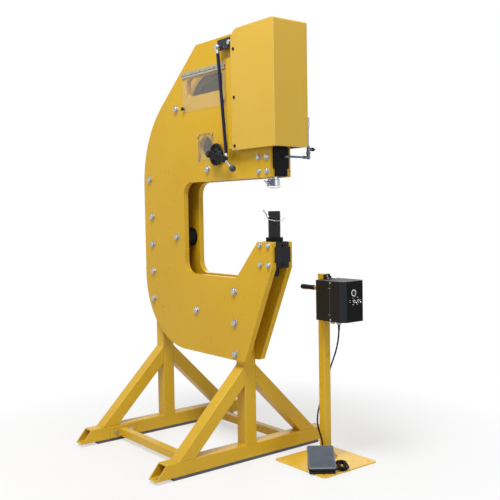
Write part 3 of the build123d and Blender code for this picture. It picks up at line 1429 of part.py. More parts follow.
PARTS = {
    "near_side_plate": near_side_plate,
    "far_side_plate": far_side_plate,
    "front_post": lambda: post(0, FRONT_POST_TOP, FRONT_BOLTS_Z),
    "rear_post": lambda: post(REAR_X, REAR_POST_TOP, REAR_BOLTS_Z),
    "foot_rails": lambda: group([foot_rail(0, -1), foot_rail(REAR_X, 1)]),
    "diagonal_braces": lambda: group(diagonal_brace(x, side) for x in (0, REAR_X) for side in (-1, 1)),
    "cross_rails": lambda: group(cross_rail(side) for side in (-1, 1)),
    "rail_pads": rail_pads,
    "frame_bolts": frame_bolts,
    "plate_spacers": plate_spacers,
    "ram_guide_block": ram_guide_block,
    "anvil_block": anvil_block,
    "anvil_cap": anvil_cap,
    "front_cover": front_cover,
    "cover_screws": cover_screws,
    "inspection_window": inspection_window,
    "guard_hinge": guard_hinge,
    "guard_leaf": guard_leaf,
    "window_panel": window_panel,
    "guard_knobs": guard_knobs,
    "motor": motor,
    "motor_pulley": motor_pulley,
    "drive_belt": drive_belt,
    "flywheel_axle": flywheel_axle,
    "flywheel": flywheel,
    "eccentric": eccentric,
    "flywheel_bearings": flywheel_bearings,
    "connecting_rod": connecting_rod,
    "rocker_beam": rocker_beam,
    "rocker_pins": rocker_pins,
    "ram": ram,
    "upper_tool_holder": upper_tool_holder,
    "upper_lock_pin": upper_lock_pin,
    "upper_pin_bail": upper_pin_bail,
    "lower_die_post": lower_die_post,
    "height_collar": height_collar,
    "lower_lock_pin": lower_lock_pin,
    "lower_pin_bail": lower_pin_bail,
    "lift_flange": lift_flange,
    "lift_lever": lift_lever,
    "lever_handle": lever_handle,
    "lift_link": lift_link,
    "lift_shaft": lift_shaft,
    "lift_arm": lift_arm,
    "drip_oiler": drip_oiler,
    "oil_valve_knob": oil_valve_knob,
    "pedestal_plate": pedestal_plate,
    "pedestal_pole": pedestal_pole,
    "pedestal_grip": pedestal_grip,
    "drive_case": drive_case,
    "drive_cover": drive_cover,
    "drive_board": drive_board,
    "cable_glands": cable_glands,
    "speed_knob": speed_knob,
    "run_switch": lambda: toggle(SWITCHES_YZ[0]),
    "power_switch": lambda: toggle(SWITCHES_YZ[1]),
    "pedal_base": pedal_base,
    "pedal_treadle": pedal_treadle,
    "pedal_cord": pedal_cord,
    "cord_coil": cord_coil,
}

os.makedirs("parts", exist_ok=True)
for name, make in PARTS.items():
    export_step(make(), f"parts/{name}.step")
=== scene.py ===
import json
import math

import bmesh
import bpy
from mathutils import Matrix, Vector


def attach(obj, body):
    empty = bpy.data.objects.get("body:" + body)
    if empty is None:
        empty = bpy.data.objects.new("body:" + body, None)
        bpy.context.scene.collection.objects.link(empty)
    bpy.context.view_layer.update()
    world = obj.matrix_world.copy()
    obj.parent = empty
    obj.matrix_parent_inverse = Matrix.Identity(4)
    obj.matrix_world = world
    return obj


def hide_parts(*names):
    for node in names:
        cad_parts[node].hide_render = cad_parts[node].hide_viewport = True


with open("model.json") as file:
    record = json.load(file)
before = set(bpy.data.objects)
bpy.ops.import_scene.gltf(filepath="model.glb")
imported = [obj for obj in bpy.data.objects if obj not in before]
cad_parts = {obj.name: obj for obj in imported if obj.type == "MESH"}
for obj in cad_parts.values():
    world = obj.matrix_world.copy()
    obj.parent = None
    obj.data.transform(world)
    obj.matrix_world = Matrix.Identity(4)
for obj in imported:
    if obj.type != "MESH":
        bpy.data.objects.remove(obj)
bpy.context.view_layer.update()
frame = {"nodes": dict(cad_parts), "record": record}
scene = bpy.context.scene
nodes = frame["nodes"]

# Places and sizes repeated from the part, in metres
OUTER = 0.05715
TUBE_HALF = 0.03175
RAIL_TOP = 0.0762
REAR_X = -0.688
BRACE_FOOT = 0.349
BRACE_CUT = 0.0449
WELD_HALF = 0.025
TOOL_X = 0.215
THROUGH_BOLTS = ((0.0, 0.490), (0.0, 0.6315), (0.0, 0.773), (REAR_X, 0.689), (REAR_X, 0.830),
                 (REAR_X, 0.971), (REAR_X, 1.112), (-0.444, 1.633), (-0.705, 1.303), (-0.187, 1.329),
                 (-0.301, 0.662), (-0.460, 1.011))
BLOCK_BOLTS_X = (0.188, 0.242)
BLOCK_BOLTS_Z = (0.902, 0.985, 1.2995, 1.360)
CROSS_Y = 0.280
FLANGE_BOLT_HALF = 0.041
FLANGE_BOLT_Z = 0.044
COVER_Y = 0.092
COVER_SCREW_X = 0.066
COVER_SCREWS_Z = (1.834, 1.626, 1.417)
INSPECT = (-0.203, 1.432)
INSPECT_REACH = 0.056
HINGE_Y = -0.06115
HINGE_Z = 1.785
HINGE_FROM = -0.385
KNUCKLE_PITCH = 0.345 / 9
KNUCKLE_GAP = 0.09
KNUCKLE_R = 0.0034
LEAF_SEAM = (0.0030, 0.0048)
HINGE_SCREWS_X = [-0.365 + 0.061 * k for k in range(6)]
GUARD_KNOBS = ((-0.372, 1.627), (-0.053, 1.627))
LEVER_PIVOT = (-0.105, 1.392)
LEVER_END = (0.013, 1.361)
LEVER_Y = -0.109
BALL = (0.069, 1.318)
SLEEVE_Z = (1.3888, 1.8302)
LINK_ROD_Z = (SLEEVE_Z[0] - 0.004, SLEEVE_Z[1] + 0.010)
STUD_Y = -0.0855
OILER = (0.280, 0.143)
OILER_Z = 1.360
VALVE_TIP_Y = OILER[1] + 0.034
MOTOR = (-0.430, 1.400)
MOTOR_END = 0.345
FLYWHEEL = (-0.180, 1.583)
POLE = (0.262, 0.243)
POLE_HALF = 0.01905
BASE_T = 0.006
CASE_FRONT = 0.453
CASE_SIDE = 0.172
CASE_FAR = 0.312
CASE_LOW = 0.652
CASE_SPLIT = 0.372
CASE_BEVEL = 0.021
CASE_TOP = 0.827
KNOB_YZ = (0.235, 0.777)
SWITCHES_YZ = ((0.231, 0.742), (0.257, 0.742))
SWITCH_COLLAR_R = 0.0074
GLANDS_X = (0.355, 0.318)
PEDAL_FRONT = (0.388, 0.103)
PEDAL_TURN = math.radians(51.7)
PEDAL_ACROSS = Vector((math.cos(PEDAL_TURN), math.sin(PEDAL_TURN), 0.0))
PEDAL_HALF = 0.059
PEDAL_DEPTH = 0.114
PEDAL_RISE = math.tan(math.radians(30))
PEDAL_FRONT_H = 0.025
TREADLE_DROP = 0.01155
CORD_R = 0.0035
CORD_FLOOR = 0.0095
CORD_LAYER = 0.009
GLAND = (GLANDS_X[0], POLE[1], 0.630)
PORT = (0.068, 0.0265)
COIL_SIDE = 0.092
COIL_REAR = 0.114
COIL_FRONT = 0.052
COIL_PITCH = 0.009
COIL_TIGHT_R = 0.0075
COIL_HALF_TURNS = 8
COIL_REVERSAL = 3
CLIMB_FROM = 0.45
CLIMB_LEVEL = 0.008
MM = 0.001
NEAR = Vector((0, -1, 0))
FAR = Vector((0, 1, 0))
FRONT = Vector((1, 0, 0))
REAR = Vector((-1, 0, 0))
UP = Vector((0, 0, 1))
DOWN = Vector((0, 0, -1))
ORIGIN = Vector((0, 0, 0))

# Nodes with a finish other than their slot's. The tube, cover and plate yellows are lighter copies of the one
# yellow paint: painted light.
OWN_FINISHES = {
    "lit_tube_yellow": ("front_post", "rear_post", "foot_rails", "diagonal_braces", "cross_rails",
                   "pedestal_pole"),
    "cover_yellow_sheen": ("front_cover",),
    "lit_plate_yellow": ("pedestal_plate",),
    "lever_paint": ("lift_lever",),
    "block_paint": ("anvil_block", "anvil_cap", "lower_die_post"),
}

# Second finishes on one solid: colour, roughness and metal
# Painted shade for the gaps of the guard hinge
HINGE_GAP_SHADE = ((0.05, 0.042, 0.03), 0.6, 0.0)
NAVY_SLEEVE = ((0.009, 0.011, 0.032), 0.4, 0.0)
BRIGHT_EYE = ((0.76, 0.78, 0.80), 0.2, 1.0)
BARE_STUD = ((0.50, 0.52, 0.56), 0.3, 1.0)
CASE_FACE = ((0.005, 0.005, 0.0055), 0.5, 0.0)
# Lighter colour for the case front's chamfer: painted sheen.
CASE_CHAMFER_SHEEN = ((0.022, 0.023, 0.027), 0.42, 0.0)
BRIGHT_COLLAR = ((0.62, 0.63, 0.66), 0.2, 1.0)
VALVE_TIP = ((0.45, 0.46, 0.48), 0.25, 1.0)

finishes = {}


# Camera

def photo_camera():
    """Camera at the photograph's standpoint, with its slight roll."""
    data = bpy.data.cameras.new("photo_camera")
    data.lens = 54.89
    data.sensor_width = 36.0
    data.clip_end = 60.0
    camera = new_object("photo_camera", data)
    turn, pitch, roll = (math.radians(a) for a in (51.70, 2.88, -0.95))
    level = math.cos(pitch)
    ahead = Vector((-math.sin(turn) * level, math.cos(turn) * level, -math.sin(pitch)))
    right = Vector((math.cos(turn), math.sin(turn), 0))
    up = right.cross(ahead)
    side = right * math.cos(roll) + up * math.sin(roll)
    top = up * math.cos(roll) - right * math.sin(roll)
    facing = Matrix((side, top, -ahead)).transposed().to_4x4()
    standpoint = (2.718, -2.112, 1.130)
    camera.matrix_world = Matrix.Translation(standpoint) @ facing
    scene.camera = camera


def new_object(name, data):
    made = bpy.data.objects.new(name, data)
    scene.collection.objects.link(made)
    return made


# Node helpers

def add(tree, kind, settings=None, **inputs):
    """New node with its settings, and inputs given as values or as sockets to link."""
    made = tree.nodes.new(kind)
    for name, value in (settings or {}).items():
        setattr(made, name, value)
    feed_all(tree, made, **inputs)
    return made


def feed_all(tree, node, **inputs):
    for name, value in inputs.items():
        feed(tree, node.inputs[name.replace("_", " ")], value)


def feed(tree, socket, value):
    if isinstance(value, bpy.types.NodeSocket):
        tree.links.new(value, socket)
    else:
        socket.default_value = value


def calc(tree, operation, a, b=0.0, clamp=False):
    made = add(tree, "ShaderNodeMath", {"operation": operation, "use_clamp": clamp})
    feed(tree, made.inputs[0], a)
    feed(tree, made.inputs[1], b)
    return made.outputs[0]


def blend_colours(tree, share, a, b, how="MIX"):
    made = add(tree, "ShaderNodeMix", {"data_type": "RGBA", "blend_type": how})
    feed(tree, made.inputs[0], share)
    for socket, value in ((made.inputs[6], a), (made.inputs[7], b)):
        feed(tree, socket, value if isinstance(value, bpy.types.NodeSocket) else (*value[:3], 1.0))
    return made.outputs[2]


def spread_of(tree, value, low, high, to_low, to_high):
    made = add(tree, "ShaderNodeMapRange", {"clamp": True}, Value=value, From_Min=low, From_Max=high,
               To_Min=to_low, To_Max=to_high)
    return made.outputs[0]


def place(tree, scale=(1, 1, 1), shift=(0, 0, 0)):
    """Object coordinates, stretched or moved for one pattern."""
    coords = tree.nodes.get("coords") or add(tree, "ShaderNodeTexCoord", {"name": "coords"})
    made = add(tree, "ShaderNodeMapping", Vector=coords.outputs["Object"], Location=shift, Scale=scale)
    return made.outputs[0]


def mottle(tree, scale, detail=3.0, stretch=(1, 1, 1), rough=0.5):
    made = add(tree, "ShaderNodeTexNoise", Vector=place(tree, stretch), Scale=scale, Detail=detail,
               Roughness=rough)
    return made.outputs["Fac"]


def distance_from(tree, centre, stretch=(1, 1, 1)):
    """Distance from a point, or from a line through it along an axis whose stretch is 0."""
    shift = [-c * s for c, s in zip(centre, stretch)]
    away = add(tree, "ShaderNodeVectorMath", {"operation": "LENGTH"}, Vector=place(tree, stretch, shift))
    return away.outputs["Value"]


def height_along(tree, axis):
    split = add(tree, "ShaderNodeSeparateXYZ", Vector=place(tree))
    return split.outputs[axis]


def edge_mask(tree, radius, strength=3.0):
    """1 along the edges of a solid and 0 on its faces, with the rounded normal that finds them."""
    rounded = add(tree, "ShaderNodeBevel", {"samples": 6}, Radius=radius)
    flat = add(tree, "ShaderNodeNewGeometry")
    turned_away = add(tree, "ShaderNodeVectorMath", {"operation": "DOT_PRODUCT"})
    tree.links.new(rounded.outputs[0], turned_away.inputs[0])
    tree.links.new(flat.outputs["Normal"], turned_away.inputs[1])
    bent = calc(tree, "SUBTRACT", 1.0, turned_away.outputs["Value"], clamp=True)
    return calc(tree, "MULTIPLY", bent, strength, clamp=True), rounded.outputs[0]


def new_material(name):
    material = bpy.data.materials.new(name)
    material.use_nodes = True
    tree = material.node_tree
    return material, tree, tree.nodes["Principled BSDF"]


# Finishes

def coat(name, colour, deep, rough, patch, grain=600.0, bump=0.08, edge=0.0012, edge_wear_and_highlight=None, edge_wear_and_highlight_share=0.5,
         specular=0.3, metal=0.0):
    """Painted, moulded or cast finish: patchy colour, fine grain, softened edges lightened in patches, partly
    for wear and partly as painted highlight.
    """
    material, tree, shader = new_material(name)
    patches = spread_of(tree, mottle(tree, patch, 4.0), 0.3, 0.7, 0.0, 1.0)
    shade = blend_colours(tree, patches, colour, deep)
    edges, rounded = edge_mask(tree, edge)
    # Edges lightened in patches: partly paint wear, partly painted highlight standing for light on the
    # rounded edges.
    if edge_wear_and_highlight:
        wear_and_highlight_patches = spread_of(tree, mottle(tree, 38.0, 5.0, rough=0.7), 0.38, 0.66, 0.25 * edge_wear_and_highlight_share, edge_wear_and_highlight_share)
        shade = blend_colours(tree, calc(tree, "MULTIPLY", edges, wear_and_highlight_patches, clamp=True), shade, edge_wear_and_highlight)
    gloss = spread_of(tree, mottle(tree, 14.0, 4.0), 0.3, 0.7, *rough)
    relief = add(tree, "ShaderNodeBump", Height=mottle(tree, grain, 2.0), Normal=rounded, Strength=bump,
                 Distance=0.0006)
    feed_all(tree, shader, Base_Color=shade, Roughness=gloss, Normal=relief.outputs[0], Metallic=metal,
             Specular_IOR_Level=specular)
    return material


def bare_metal(name, colour, deep, rough, stretch, grain, stain=(0.30, 0.27, 0.24), stain_share=0.25):
    """Machined or plated metal with drawn-out tool marks and faint stains; stretched broad and upright, the
    marks become bright and dark bands that are painted reflection. Edges are lightened as painted highlight.
    """
    material, tree, shader = new_material(name)
    lines = mottle(tree, grain, 3.0, stretch)
    shade = blend_colours(tree, spread_of(tree, lines, 0.35, 0.65, 0.0, 1.0), colour, deep)
    stains = spread_of(tree, mottle(tree, 22.0, 5.0, rough=0.65), 0.52, 0.75, 0.0, stain_share)
    shade = blend_colours(tree, stains, shade, stain)
    edges, rounded = edge_mask(tree, 0.0008)
    # Edges lightened as painted highlight.
    edge_highlight = [min(1.0, 1.25 * c) for c in colour]
    shade = blend_colours(tree, calc(tree, "MULTIPLY", edges, 0.5), shade, edge_highlight)
    gloss = spread_of(tree, lines, 0.3, 0.7, *rough)
    relief = add(tree, "ShaderNodeBump", Height=lines, Normal=rounded, Strength=0.05, Distance=0.0003)
    feed_all(tree, shader, Base_Color=shade, Roughness=gloss, Normal=relief.outputs[0], Metallic=1.0)
    return material


def clear_sheet(name, tint, alpha, haze):
    """Clear plastic sheet with fine scratches and smears."""
    material, tree, shader = new_material(name)
    scratches = spread_of(tree, mottle(tree, 60.0, 3.0, (1, 1, 9)), 0.4, 0.75, 0.04, haze)
    smears = spread_of(tree, mottle(tree, 9.0, 3.0), 0.3, 0.75, 0.0, 1.0)
    shade = blend_colours(tree, smears, tint, [0.85 * c for c in tint])
    edges, rounded = edge_mask(tree, 0.0008)
    film = spread_of(tree, mottle(tree, 30.0, 4.0), 0.3, 0.7, 0.85 * alpha, 1.15 * alpha)
    cover = calc(tree, "ADD", film, calc(tree, "MULTIPLY", edges, 0.5), clamp=True)
    feed_all(tree, shader, Base_Color=shade, Roughness=scratches, Alpha=cover, Normal=rounded, IOR=1.49)
    return material


def swap_finish(material, share, colour, rough, metal):
    """Gives the part of a material that a mask marks another colour, roughness and metal."""
    tree = material.node_tree
    inputs = tree.nodes["Principled BSDF"].inputs
    base = inputs["Base Color"]
    tree.links.new(blend_colours(tree, share, base.links[0].from_socket, colour), base)
    for socket, level in ((inputs["Roughness"], rough), (inputs["Metallic"], metal)):
        before = socket.links[0].from_socket if socket.links else socket.default_value
        step = calc(tree, "MULTIPLY", share, calc(tree, "SUBTRACT", level, before))
        tree.links.new(calc(tree, "ADD", before, step), socket)


def between(tree, value, low, high):
    above = calc(tree, "GREATER_THAN", value, low)
    return calc(tree, "MULTIPLY", above, calc(tree, "LESS_THAN", value, high))


def make_finishes():
    """One finish for each material slot of the record, and a few more for single nodes and small pieces."""
    enamel = {"grain": 420.0, "bump": 0.05}
    black = {"edge": 0.0015, "edge_wear_and_highlight_share": 0.7}
    coats = {
        "yellow_paint": ((0.625, 0.375, 0.014), (0.57, 0.332, 0.009), (0.26, 0.40), 1.6, dict(
            enamel, edge=0.0026, edge_wear_and_highlight=(0.88, 0.68, 0.26), edge_wear_and_highlight_share=0.8, specular=0.24)),
        # A lighter copy of the yellow paint for the stand's tubes: painted light, with painted highlight
        # lines on its edges.
        "lit_tube_yellow": ((0.645, 0.398, 0.022), (0.59, 0.353, 0.015), (0.24, 0.38), 1.6, dict(
            enamel, edge=0.004, edge_wear_and_highlight=(0.95, 0.84, 0.46), edge_wear_and_highlight_share=0.95, specular=0.28)),
        # A paler copy of the yellow paint for the cover: painted sheen.
        "cover_yellow_sheen": ((0.625, 0.400, 0.052), (0.583, 0.360, 0.038), (0.28, 0.42), 1.6, dict(
            enamel, edge=0.004, edge_wear_and_highlight=(0.92, 0.84, 0.58), edge_wear_and_highlight_share=0.95)),
        # A much lighter copy of the yellow paint for the pedestal's top-lit base plate: painted light.
        "lit_plate_yellow": ((0.80, 0.505, 0.048), (0.75, 0.458, 0.036), (0.26, 0.40), 5.0, dict(
            enamel, edge=0.0026, edge_wear_and_highlight=(0.92, 0.78, 0.42), edge_wear_and_highlight_share=0.8)),
        "block_paint": ((0.013, 0.0135, 0.015), (0.018, 0.0185, 0.020), (0.34, 0.5), 9.0, dict(
            black, edge_wear_and_highlight=(0.09, 0.09, 0.094), specular=0.12)),
        "arm_paint": ((0.030, 0.032, 0.038), (0.022, 0.024, 0.029), (0.34, 0.5), 9.0, dict(
            black, edge_wear_and_highlight=(0.12, 0.125, 0.135), specular=0.15)),
        "black_paint": ((0.0045, 0.0045, 0.005), (0.008, 0.008, 0.0085), (0.36, 0.52), 9.0, dict(
            black, edge_wear_and_highlight=(0.07, 0.07, 0.074), specular=0.08)),
        "lever_paint": ((0.0065, 0.0068, 0.0065), (0.0105, 0.0108, 0.0105), (0.4, 0.55), 60.0, dict(
            grain=260.0, bump=0.2, edge=0.0022, edge_wear_and_highlight=(0.24, 0.24, 0.23), edge_wear_and_highlight_share=1.0, specular=0.1)),
        "hinge_steel": ((0.44, 0.415, 0.33), (0.36, 0.34, 0.265), (0.32, 0.45), 30.0, dict(
            edge=0.0008, edge_wear_and_highlight=(0.66, 0.62, 0.54), metal=0.35)),
        "cast_iron": ((0.024, 0.023, 0.022), (0.015, 0.0145, 0.014), (0.5, 0.7), 20.0, dict(
            grain=300.0, bump=0.35, edge_wear_and_highlight=(0.13, 0.125, 0.12), edge_wear_and_highlight_share=0.9, specular=0.2)),
        "black_screw": ((0.008, 0.008, 0.008), (0.013, 0.013, 0.013), (0.3, 0.45), 40.0, dict(
            edge=0.0006, edge_wear_and_highlight=(0.12, 0.12, 0.12), specular=0.2)),
        "pad_rubber": ((0.115, 0.128, 0.156), (0.092, 0.103, 0.128), (0.6, 0.8), 12.0, dict(
            grain=500.0, bump=0.3, edge_wear_and_highlight=(0.15, 0.16, 0.185), specular=0.2)),
        "black_plastic": ((0.008, 0.008, 0.009), (0.012, 0.012, 0.013), (0.35, 0.5), 20.0, dict(
            grain=900.0, bump=0.15, edge_wear_and_highlight=(0.06, 0.06, 0.06), specular=0.2)),
        "ball_grip": ((0.022, 0.034, 0.058), (0.016, 0.025, 0.044), (0.16, 0.25), 40.0, dict(
            grain=900.0, bump=0.03, specular=0.4)),
        "blue_pad": ((0.020, 0.055, 0.190), (0.014, 0.040, 0.140), (0.35, 0.5), 60.0, dict(
            edge_wear_and_highlight=(0.2, 0.25, 0.4))),
        "gland_grey": ((0.52, 0.55, 0.54), (0.44, 0.47, 0.46), (0.4, 0.55), 40.0, dict(
            edge=0.0006, edge_wear_and_highlight=(0.75, 0.76, 0.76))),
        "motor_grey": ((0.13, 0.14, 0.15), (0.09, 0.10, 0.11), (0.4, 0.55), 7.0, dict(
            grain=380.0, bump=0.2, edge_wear_and_highlight=(0.3, 0.31, 0.32))),
        "case_black": ((0.019, 0.0165, 0.0120), (0.023, 0.020, 0.0145), (0.44, 0.54), 6.0, dict(
            grain=700.0, bump=0.12, edge=0.0014, edge_wear_and_highlight=(0.12, 0.125, 0.135), edge_wear_and_highlight_share=0.8, specular=0.06)),
        # Light strip colour standing for the highlight on the case's split edge: painted highlight.
        "seam_highlight_grey": ((0.075, 0.09, 0.115), (0.055, 0.066, 0.085), (0.35, 0.5), 30.0, {}),
        "clip_grey": ((0.16, 0.18, 0.22), (0.12, 0.135, 0.165), (0.35, 0.5), 30.0, dict(
            edge_wear_and_highlight=(0.30, 0.32, 0.36))),
        "white_mark": ((0.82, 0.83, 0.84), (0.72, 0.73, 0.74), (0.4, 0.5), 90.0, {}),
        "board_green": ((0.03, 0.16, 0.07), (0.02, 0.11, 0.05), (0.3, 0.5), 60.0, {}),
        "treadle_grey": ((0.094, 0.112, 0.136), (0.072, 0.086, 0.107), (0.5, 0.65), 18.0, dict(
            grain=700.0, bump=0.6, edge_wear_and_highlight=(0.36, 0.39, 0.42), edge_wear_and_highlight_share=0.9, specular=0.25)),
        "rim_grey": ((0.17, 0.192, 0.218), (0.135, 0.153, 0.175), (0.4, 0.5), 30.0, dict(
            edge_wear_and_highlight=(0.46, 0.48, 0.51))),
        "cord_black": ((0.005, 0.005, 0.0055), (0.008, 0.008, 0.0085), (0.45, 0.58), 40.0, dict(
            grain=1200.0, bump=0.1, specular=0.05)),
    }
    even, upright, along_x, reflection_streaks = (1, 1, 1), (1, 1, 30), (30, 1, 1), (1, 1, 0.03)
    clean = {"stain_share": 0.1}
    metals = {
        "zinc_steel": ((0.52, 0.54, 0.58), (0.34, 0.36, 0.40), (0.28, 0.45), even, 160.0, {}),
        "machined_steel": ((0.46, 0.48, 0.52), (0.28, 0.30, 0.34), (0.2, 0.34), upright, 90.0, {}),
        "brass": ((0.74, 0.52, 0.20), (0.60, 0.40, 0.13), (0.22, 0.4), along_x, 90.0, {}),
        # The die socket's broad upright bright and dark bands are painted reflection.
        "socket_steel": ((0.62, 0.64, 0.70), (0.10, 0.11, 0.14), (0.2, 0.34), reflection_streaks, 75.0, clean),
        "switch_metal": ((0.70, 0.71, 0.74), (0.52, 0.53, 0.56), (0.1, 0.2), even, 300.0, clean),
        "chrome": ((0.66, 0.69, 0.73), (0.46, 0.49, 0.54), (0.08, 0.16), even, 120.0, clean),
        "oiler_metal": ((0.15, 0.18, 0.23), (0.08, 0.095, 0.125), (0.26, 0.42), even, 200.0, dict(
            stain=(0.06, 0.055, 0.05))),
    }
    for maker, rows in ((coat, coats), (bare_metal, metals)):
        for name, (*basics, extras) in rows.items():
            finishes[name] = maker(name, *basics, **extras)
    finishes["clear"] = clear_sheet("clear_sheet", (0.80, 0.74, 0.66), 0.10, 0.25)
    finishes["sight_sleeve"] = clear_sheet("sight_sleeve", (0.62, 0.70, 0.74), 0.55, 0.2)


def own_finish(node, material):
    data = nodes[node].data
    data.materials.clear()
    data.materials.append(material)


def own_copy(node, finish, name):
    """Copy of a finish for one node, to be marked with a second finish."""
    made = finishes[finish].copy()
    made.name = name
    own_finish(node, made)
    return made, made.node_tree


def past(tree, axis, level):
    return calc(tree, "GREATER_THAN", height_along(tree, axis), level)


def dress_nodes():
    """Every node takes the finish of its slot. Some have a finish of their own, or two on one solid."""
    for row in frame["record"]["subparts"]:
        own_finish(row["node"], finishes[row["material_slot"]])
    for finish, members in OWN_FINISHES.items():
        for node in members:
            own_finish(node, finishes[finish])

    for node in ("guard_hinge", "guard_leaf"):
        hinge, tree = own_copy(node, "hinge_steel", node + "_steel")
        # Dark bands at the seam of leaf and knuckle and between knuckles are painted shade in the hinge's
        # gaps.
        away = calc(tree, "ABSOLUTE", calc(tree, "SUBTRACT", height_along(tree, "Z"), HINGE_Z))
        swap_finish(hinge, between(tree, away, *LEAF_SEAM), *HINGE_GAP_SHADE)
        along = calc(tree, "SUBTRACT", height_along(tree, "X"), HINGE_FROM)
        along = calc(tree, "DIVIDE", along, KNUCKLE_PITCH)
        joint = calc(tree, "LESS_THAN", calc(tree, "FRACT", along), KNUCKLE_GAP)
        knuckle = calc(tree, "LESS_THAN", away, KNUCKLE_R)
        swap_finish(hinge, calc(tree, "MULTIPLY", joint, knuckle), *HINGE_GAP_SHADE)

    link, tree = own_copy("lift_link", "zinc_steel", "sleeved_link")
    swap_finish(link, between(tree, height_along(tree, "Z"), *SLEEVE_Z), *NAVY_SLEEVE)
    rod = between(tree, height_along(tree, "Z"), *LINK_ROD_Z)
    swap_finish(link, calc(tree, "SUBTRACT", 1.0, rod), *BRIGHT_EYE)
    tree.nodes["Principled BSDF"].inputs["Specular IOR Level"].default_value = 0.15

    arm, tree = own_copy("lift_arm", "arm_paint", "arm_and_stud")
    swap_finish(arm, calc(tree, "LESS_THAN", height_along(tree, "Y"), STUD_Y), *BARE_STUD)

    front, tree = own_copy("drive_cover", "case_black", "case_front")
    swap_finish(front, past(tree, "X", CASE_FRONT - 0.0003), *CASE_FACE)
    proud = past(tree, "X", CASE_FRONT + 0.0002)
    for y, z in SWITCHES_YZ:
        collar = calc(tree, "LESS_THAN", distance_from(tree, (0, y, z), (0, 1, 1)), SWITCH_COLLAR_R)
        swap_finish(front, calc(tree, "MULTIPLY", collar, proud), *BRIGHT_COLLAR)
    # The chamfer is given a lighter colour as painted sheen from its slant to the light.
    outward = calc(tree, "SUBTRACT", height_along(tree, "X"), height_along(tree, "Y"))
    bevel = calc(tree, "GREATER_THAN", outward, CASE_FRONT - CASE_SIDE - CASE_BEVEL - 0.001)
    swap_finish(front, bevel, *CASE_CHAMFER_SHEEN)

    valve, tree = own_copy("oil_valve_knob", "black_plastic", "valve_knob")
    swap_finish(valve, past(tree, "Y", VALVE_TIP_Y), *VALVE_TIP)


# Mesh helpers

def round_form(angle):
    return 1.0


def hex_form(angle):
    """Share of half the width across flats, with a corner at angle 0."""
    return 1.0 / math.cos(angle % (math.pi / 3) - math.pi / 6)


def fluted_form(angle):
    return 0.965 + 0.035 * math.cos(18 * angle)


def lobed_form(angle):
    return 0.86 + 0.14 * math.cos(3 * angle)


def turned(bm, origin, axis, profile, sides=36, finish=0):
    """Adds a shape turned about an axis, from (distance along, radius, form) rows in millimetres."""
    axis = Vector(axis).normalized()
    across = axis.orthogonal().normalized()
    other = axis.cross(across)
    rings = []
    for along, r, *form in profile:
        centre = Vector(origin) + axis * (MM * along)
        if r == 0:
            rings.append([bm.verts.new(centre)])
            continue
        shape = form[0] if form else round_form
        ring = []
        for k in range(sides):
            angle = 2 * math.pi * k / sides
            ray = across * math.cos(angle) + other * math.sin(angle)
            ring.append(bm.verts.new(centre + ray * (MM * r * shape(angle))))
        rings.append(ring)
    for low, high in zip(rings, rings[1:]):
        for k in range(sides):
            n = k + 1
            around = (low[k % len(low)], low[n % len(low)], high[n % len(high)], high[k % len(high)])
            corners = list(dict.fromkeys(around))
            if len(corners) > 2:
                bm.faces.new(corners).material_index = finish


def ball_profile(start, r, cut, steps=14):
    """Rows of a ball whose near side is cut flat, starting at a distance along the axis."""
    first = math.asin(cut / r)
    centre = start + r * math.cos(first)
    rows = [(start, 0.0)]
    for k in range(steps):
        angle = first + (math.pi - first) * k / steps
        rows.append((centre - r * math.cos(angle), r * math.sin(angle)))
    return rows + [(centre + r, 0.0)]


def box(bm, low, high, finish=0, soften=0.0):
    made = bmesh.ops.create_cube(bm, size=1.0)["verts"]
    low, high = Vector(low), Vector(high)
    for vert in made:
        vert.co = Vector(a + (c + 0.5) * (b - a) for a, b, c in zip(low, high, vert.co))
    for face in {face for vert in made for face in vert.link_faces}:
        face.material_index = finish
    if soften:
        edges = list({edge for vert in made for edge in vert.link_edges})
        bmesh.ops.bevel(bm, geom=edges, offset=soften, segments=2, affect="EDGES", profile=0.5)


def slab(bm, centre, half, finish=0, soften=0.0):
    centre, half = Vector(centre), Vector(half)
    box(bm, centre - half, centre + half, finish, soften)


def smooth_mesh(name, bm, materials=()):
    """Mesh with outward faces, smooth shading and sharp edges where it turns."""
    bmesh.ops.remove_doubles(bm, verts=bm.verts, dist=1e-6)
    bmesh.ops.recalc_face_normals(bm, faces=bm.faces)
    mesh = bpy.data.meshes.new(name)
    bm.to_mesh(mesh)
    bm.free()
    for finish in materials:
        mesh.materials.append(finishes[finish])
    for polygon in mesh.polygons:
        polygon.use_smooth = True
    mesh.set_sharp_from_angle(angle=math.radians(32))
    return mesh


def make_piece(name, bm, materials, body, slot, *replaced):
    piece = new_object(name, smooth_mesh(name, bm, materials))
    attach(piece, body)
    if replaced:
        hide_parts(*replaced)
    return piece


# Node trees for what repeats

FASTENER_TREE = "fasteners_on_points"


def new_tree(name, inputs):
    tree = bpy.data.node_groups.new(name, "GeometryNodeTree")
    for label, kind in inputs:
        tree.interface.new_socket(label, in_out="INPUT", socket_type=kind)
    tree.interface.new_socket("Geometry", in_out="OUTPUT", socket_type="NodeSocketGeometry")
    return tree, tree.nodes.new("NodeGroupInput").outputs, tree.nodes.new("NodeGroupOutput").inputs


def finish_tree(tree, instances, material, result):
    plain = add(tree, "GeometryNodeRealizeInstances", Geometry=instances)
    dressed = add(tree, "GeometryNodeSetMaterial", Geometry=plain.outputs[0], Material=material)
    tree.links.new(dressed.outputs[0], result["Geometry"])


def random_number(tree, low, high, seed):
    made = add(tree, "FunctionNodeRandomValue", {"data_type": "FLOAT"}, Seed=seed)
    feed(tree, made.inputs[2], low)
    feed(tree, made.inputs[3], high)
    return made.outputs[1]


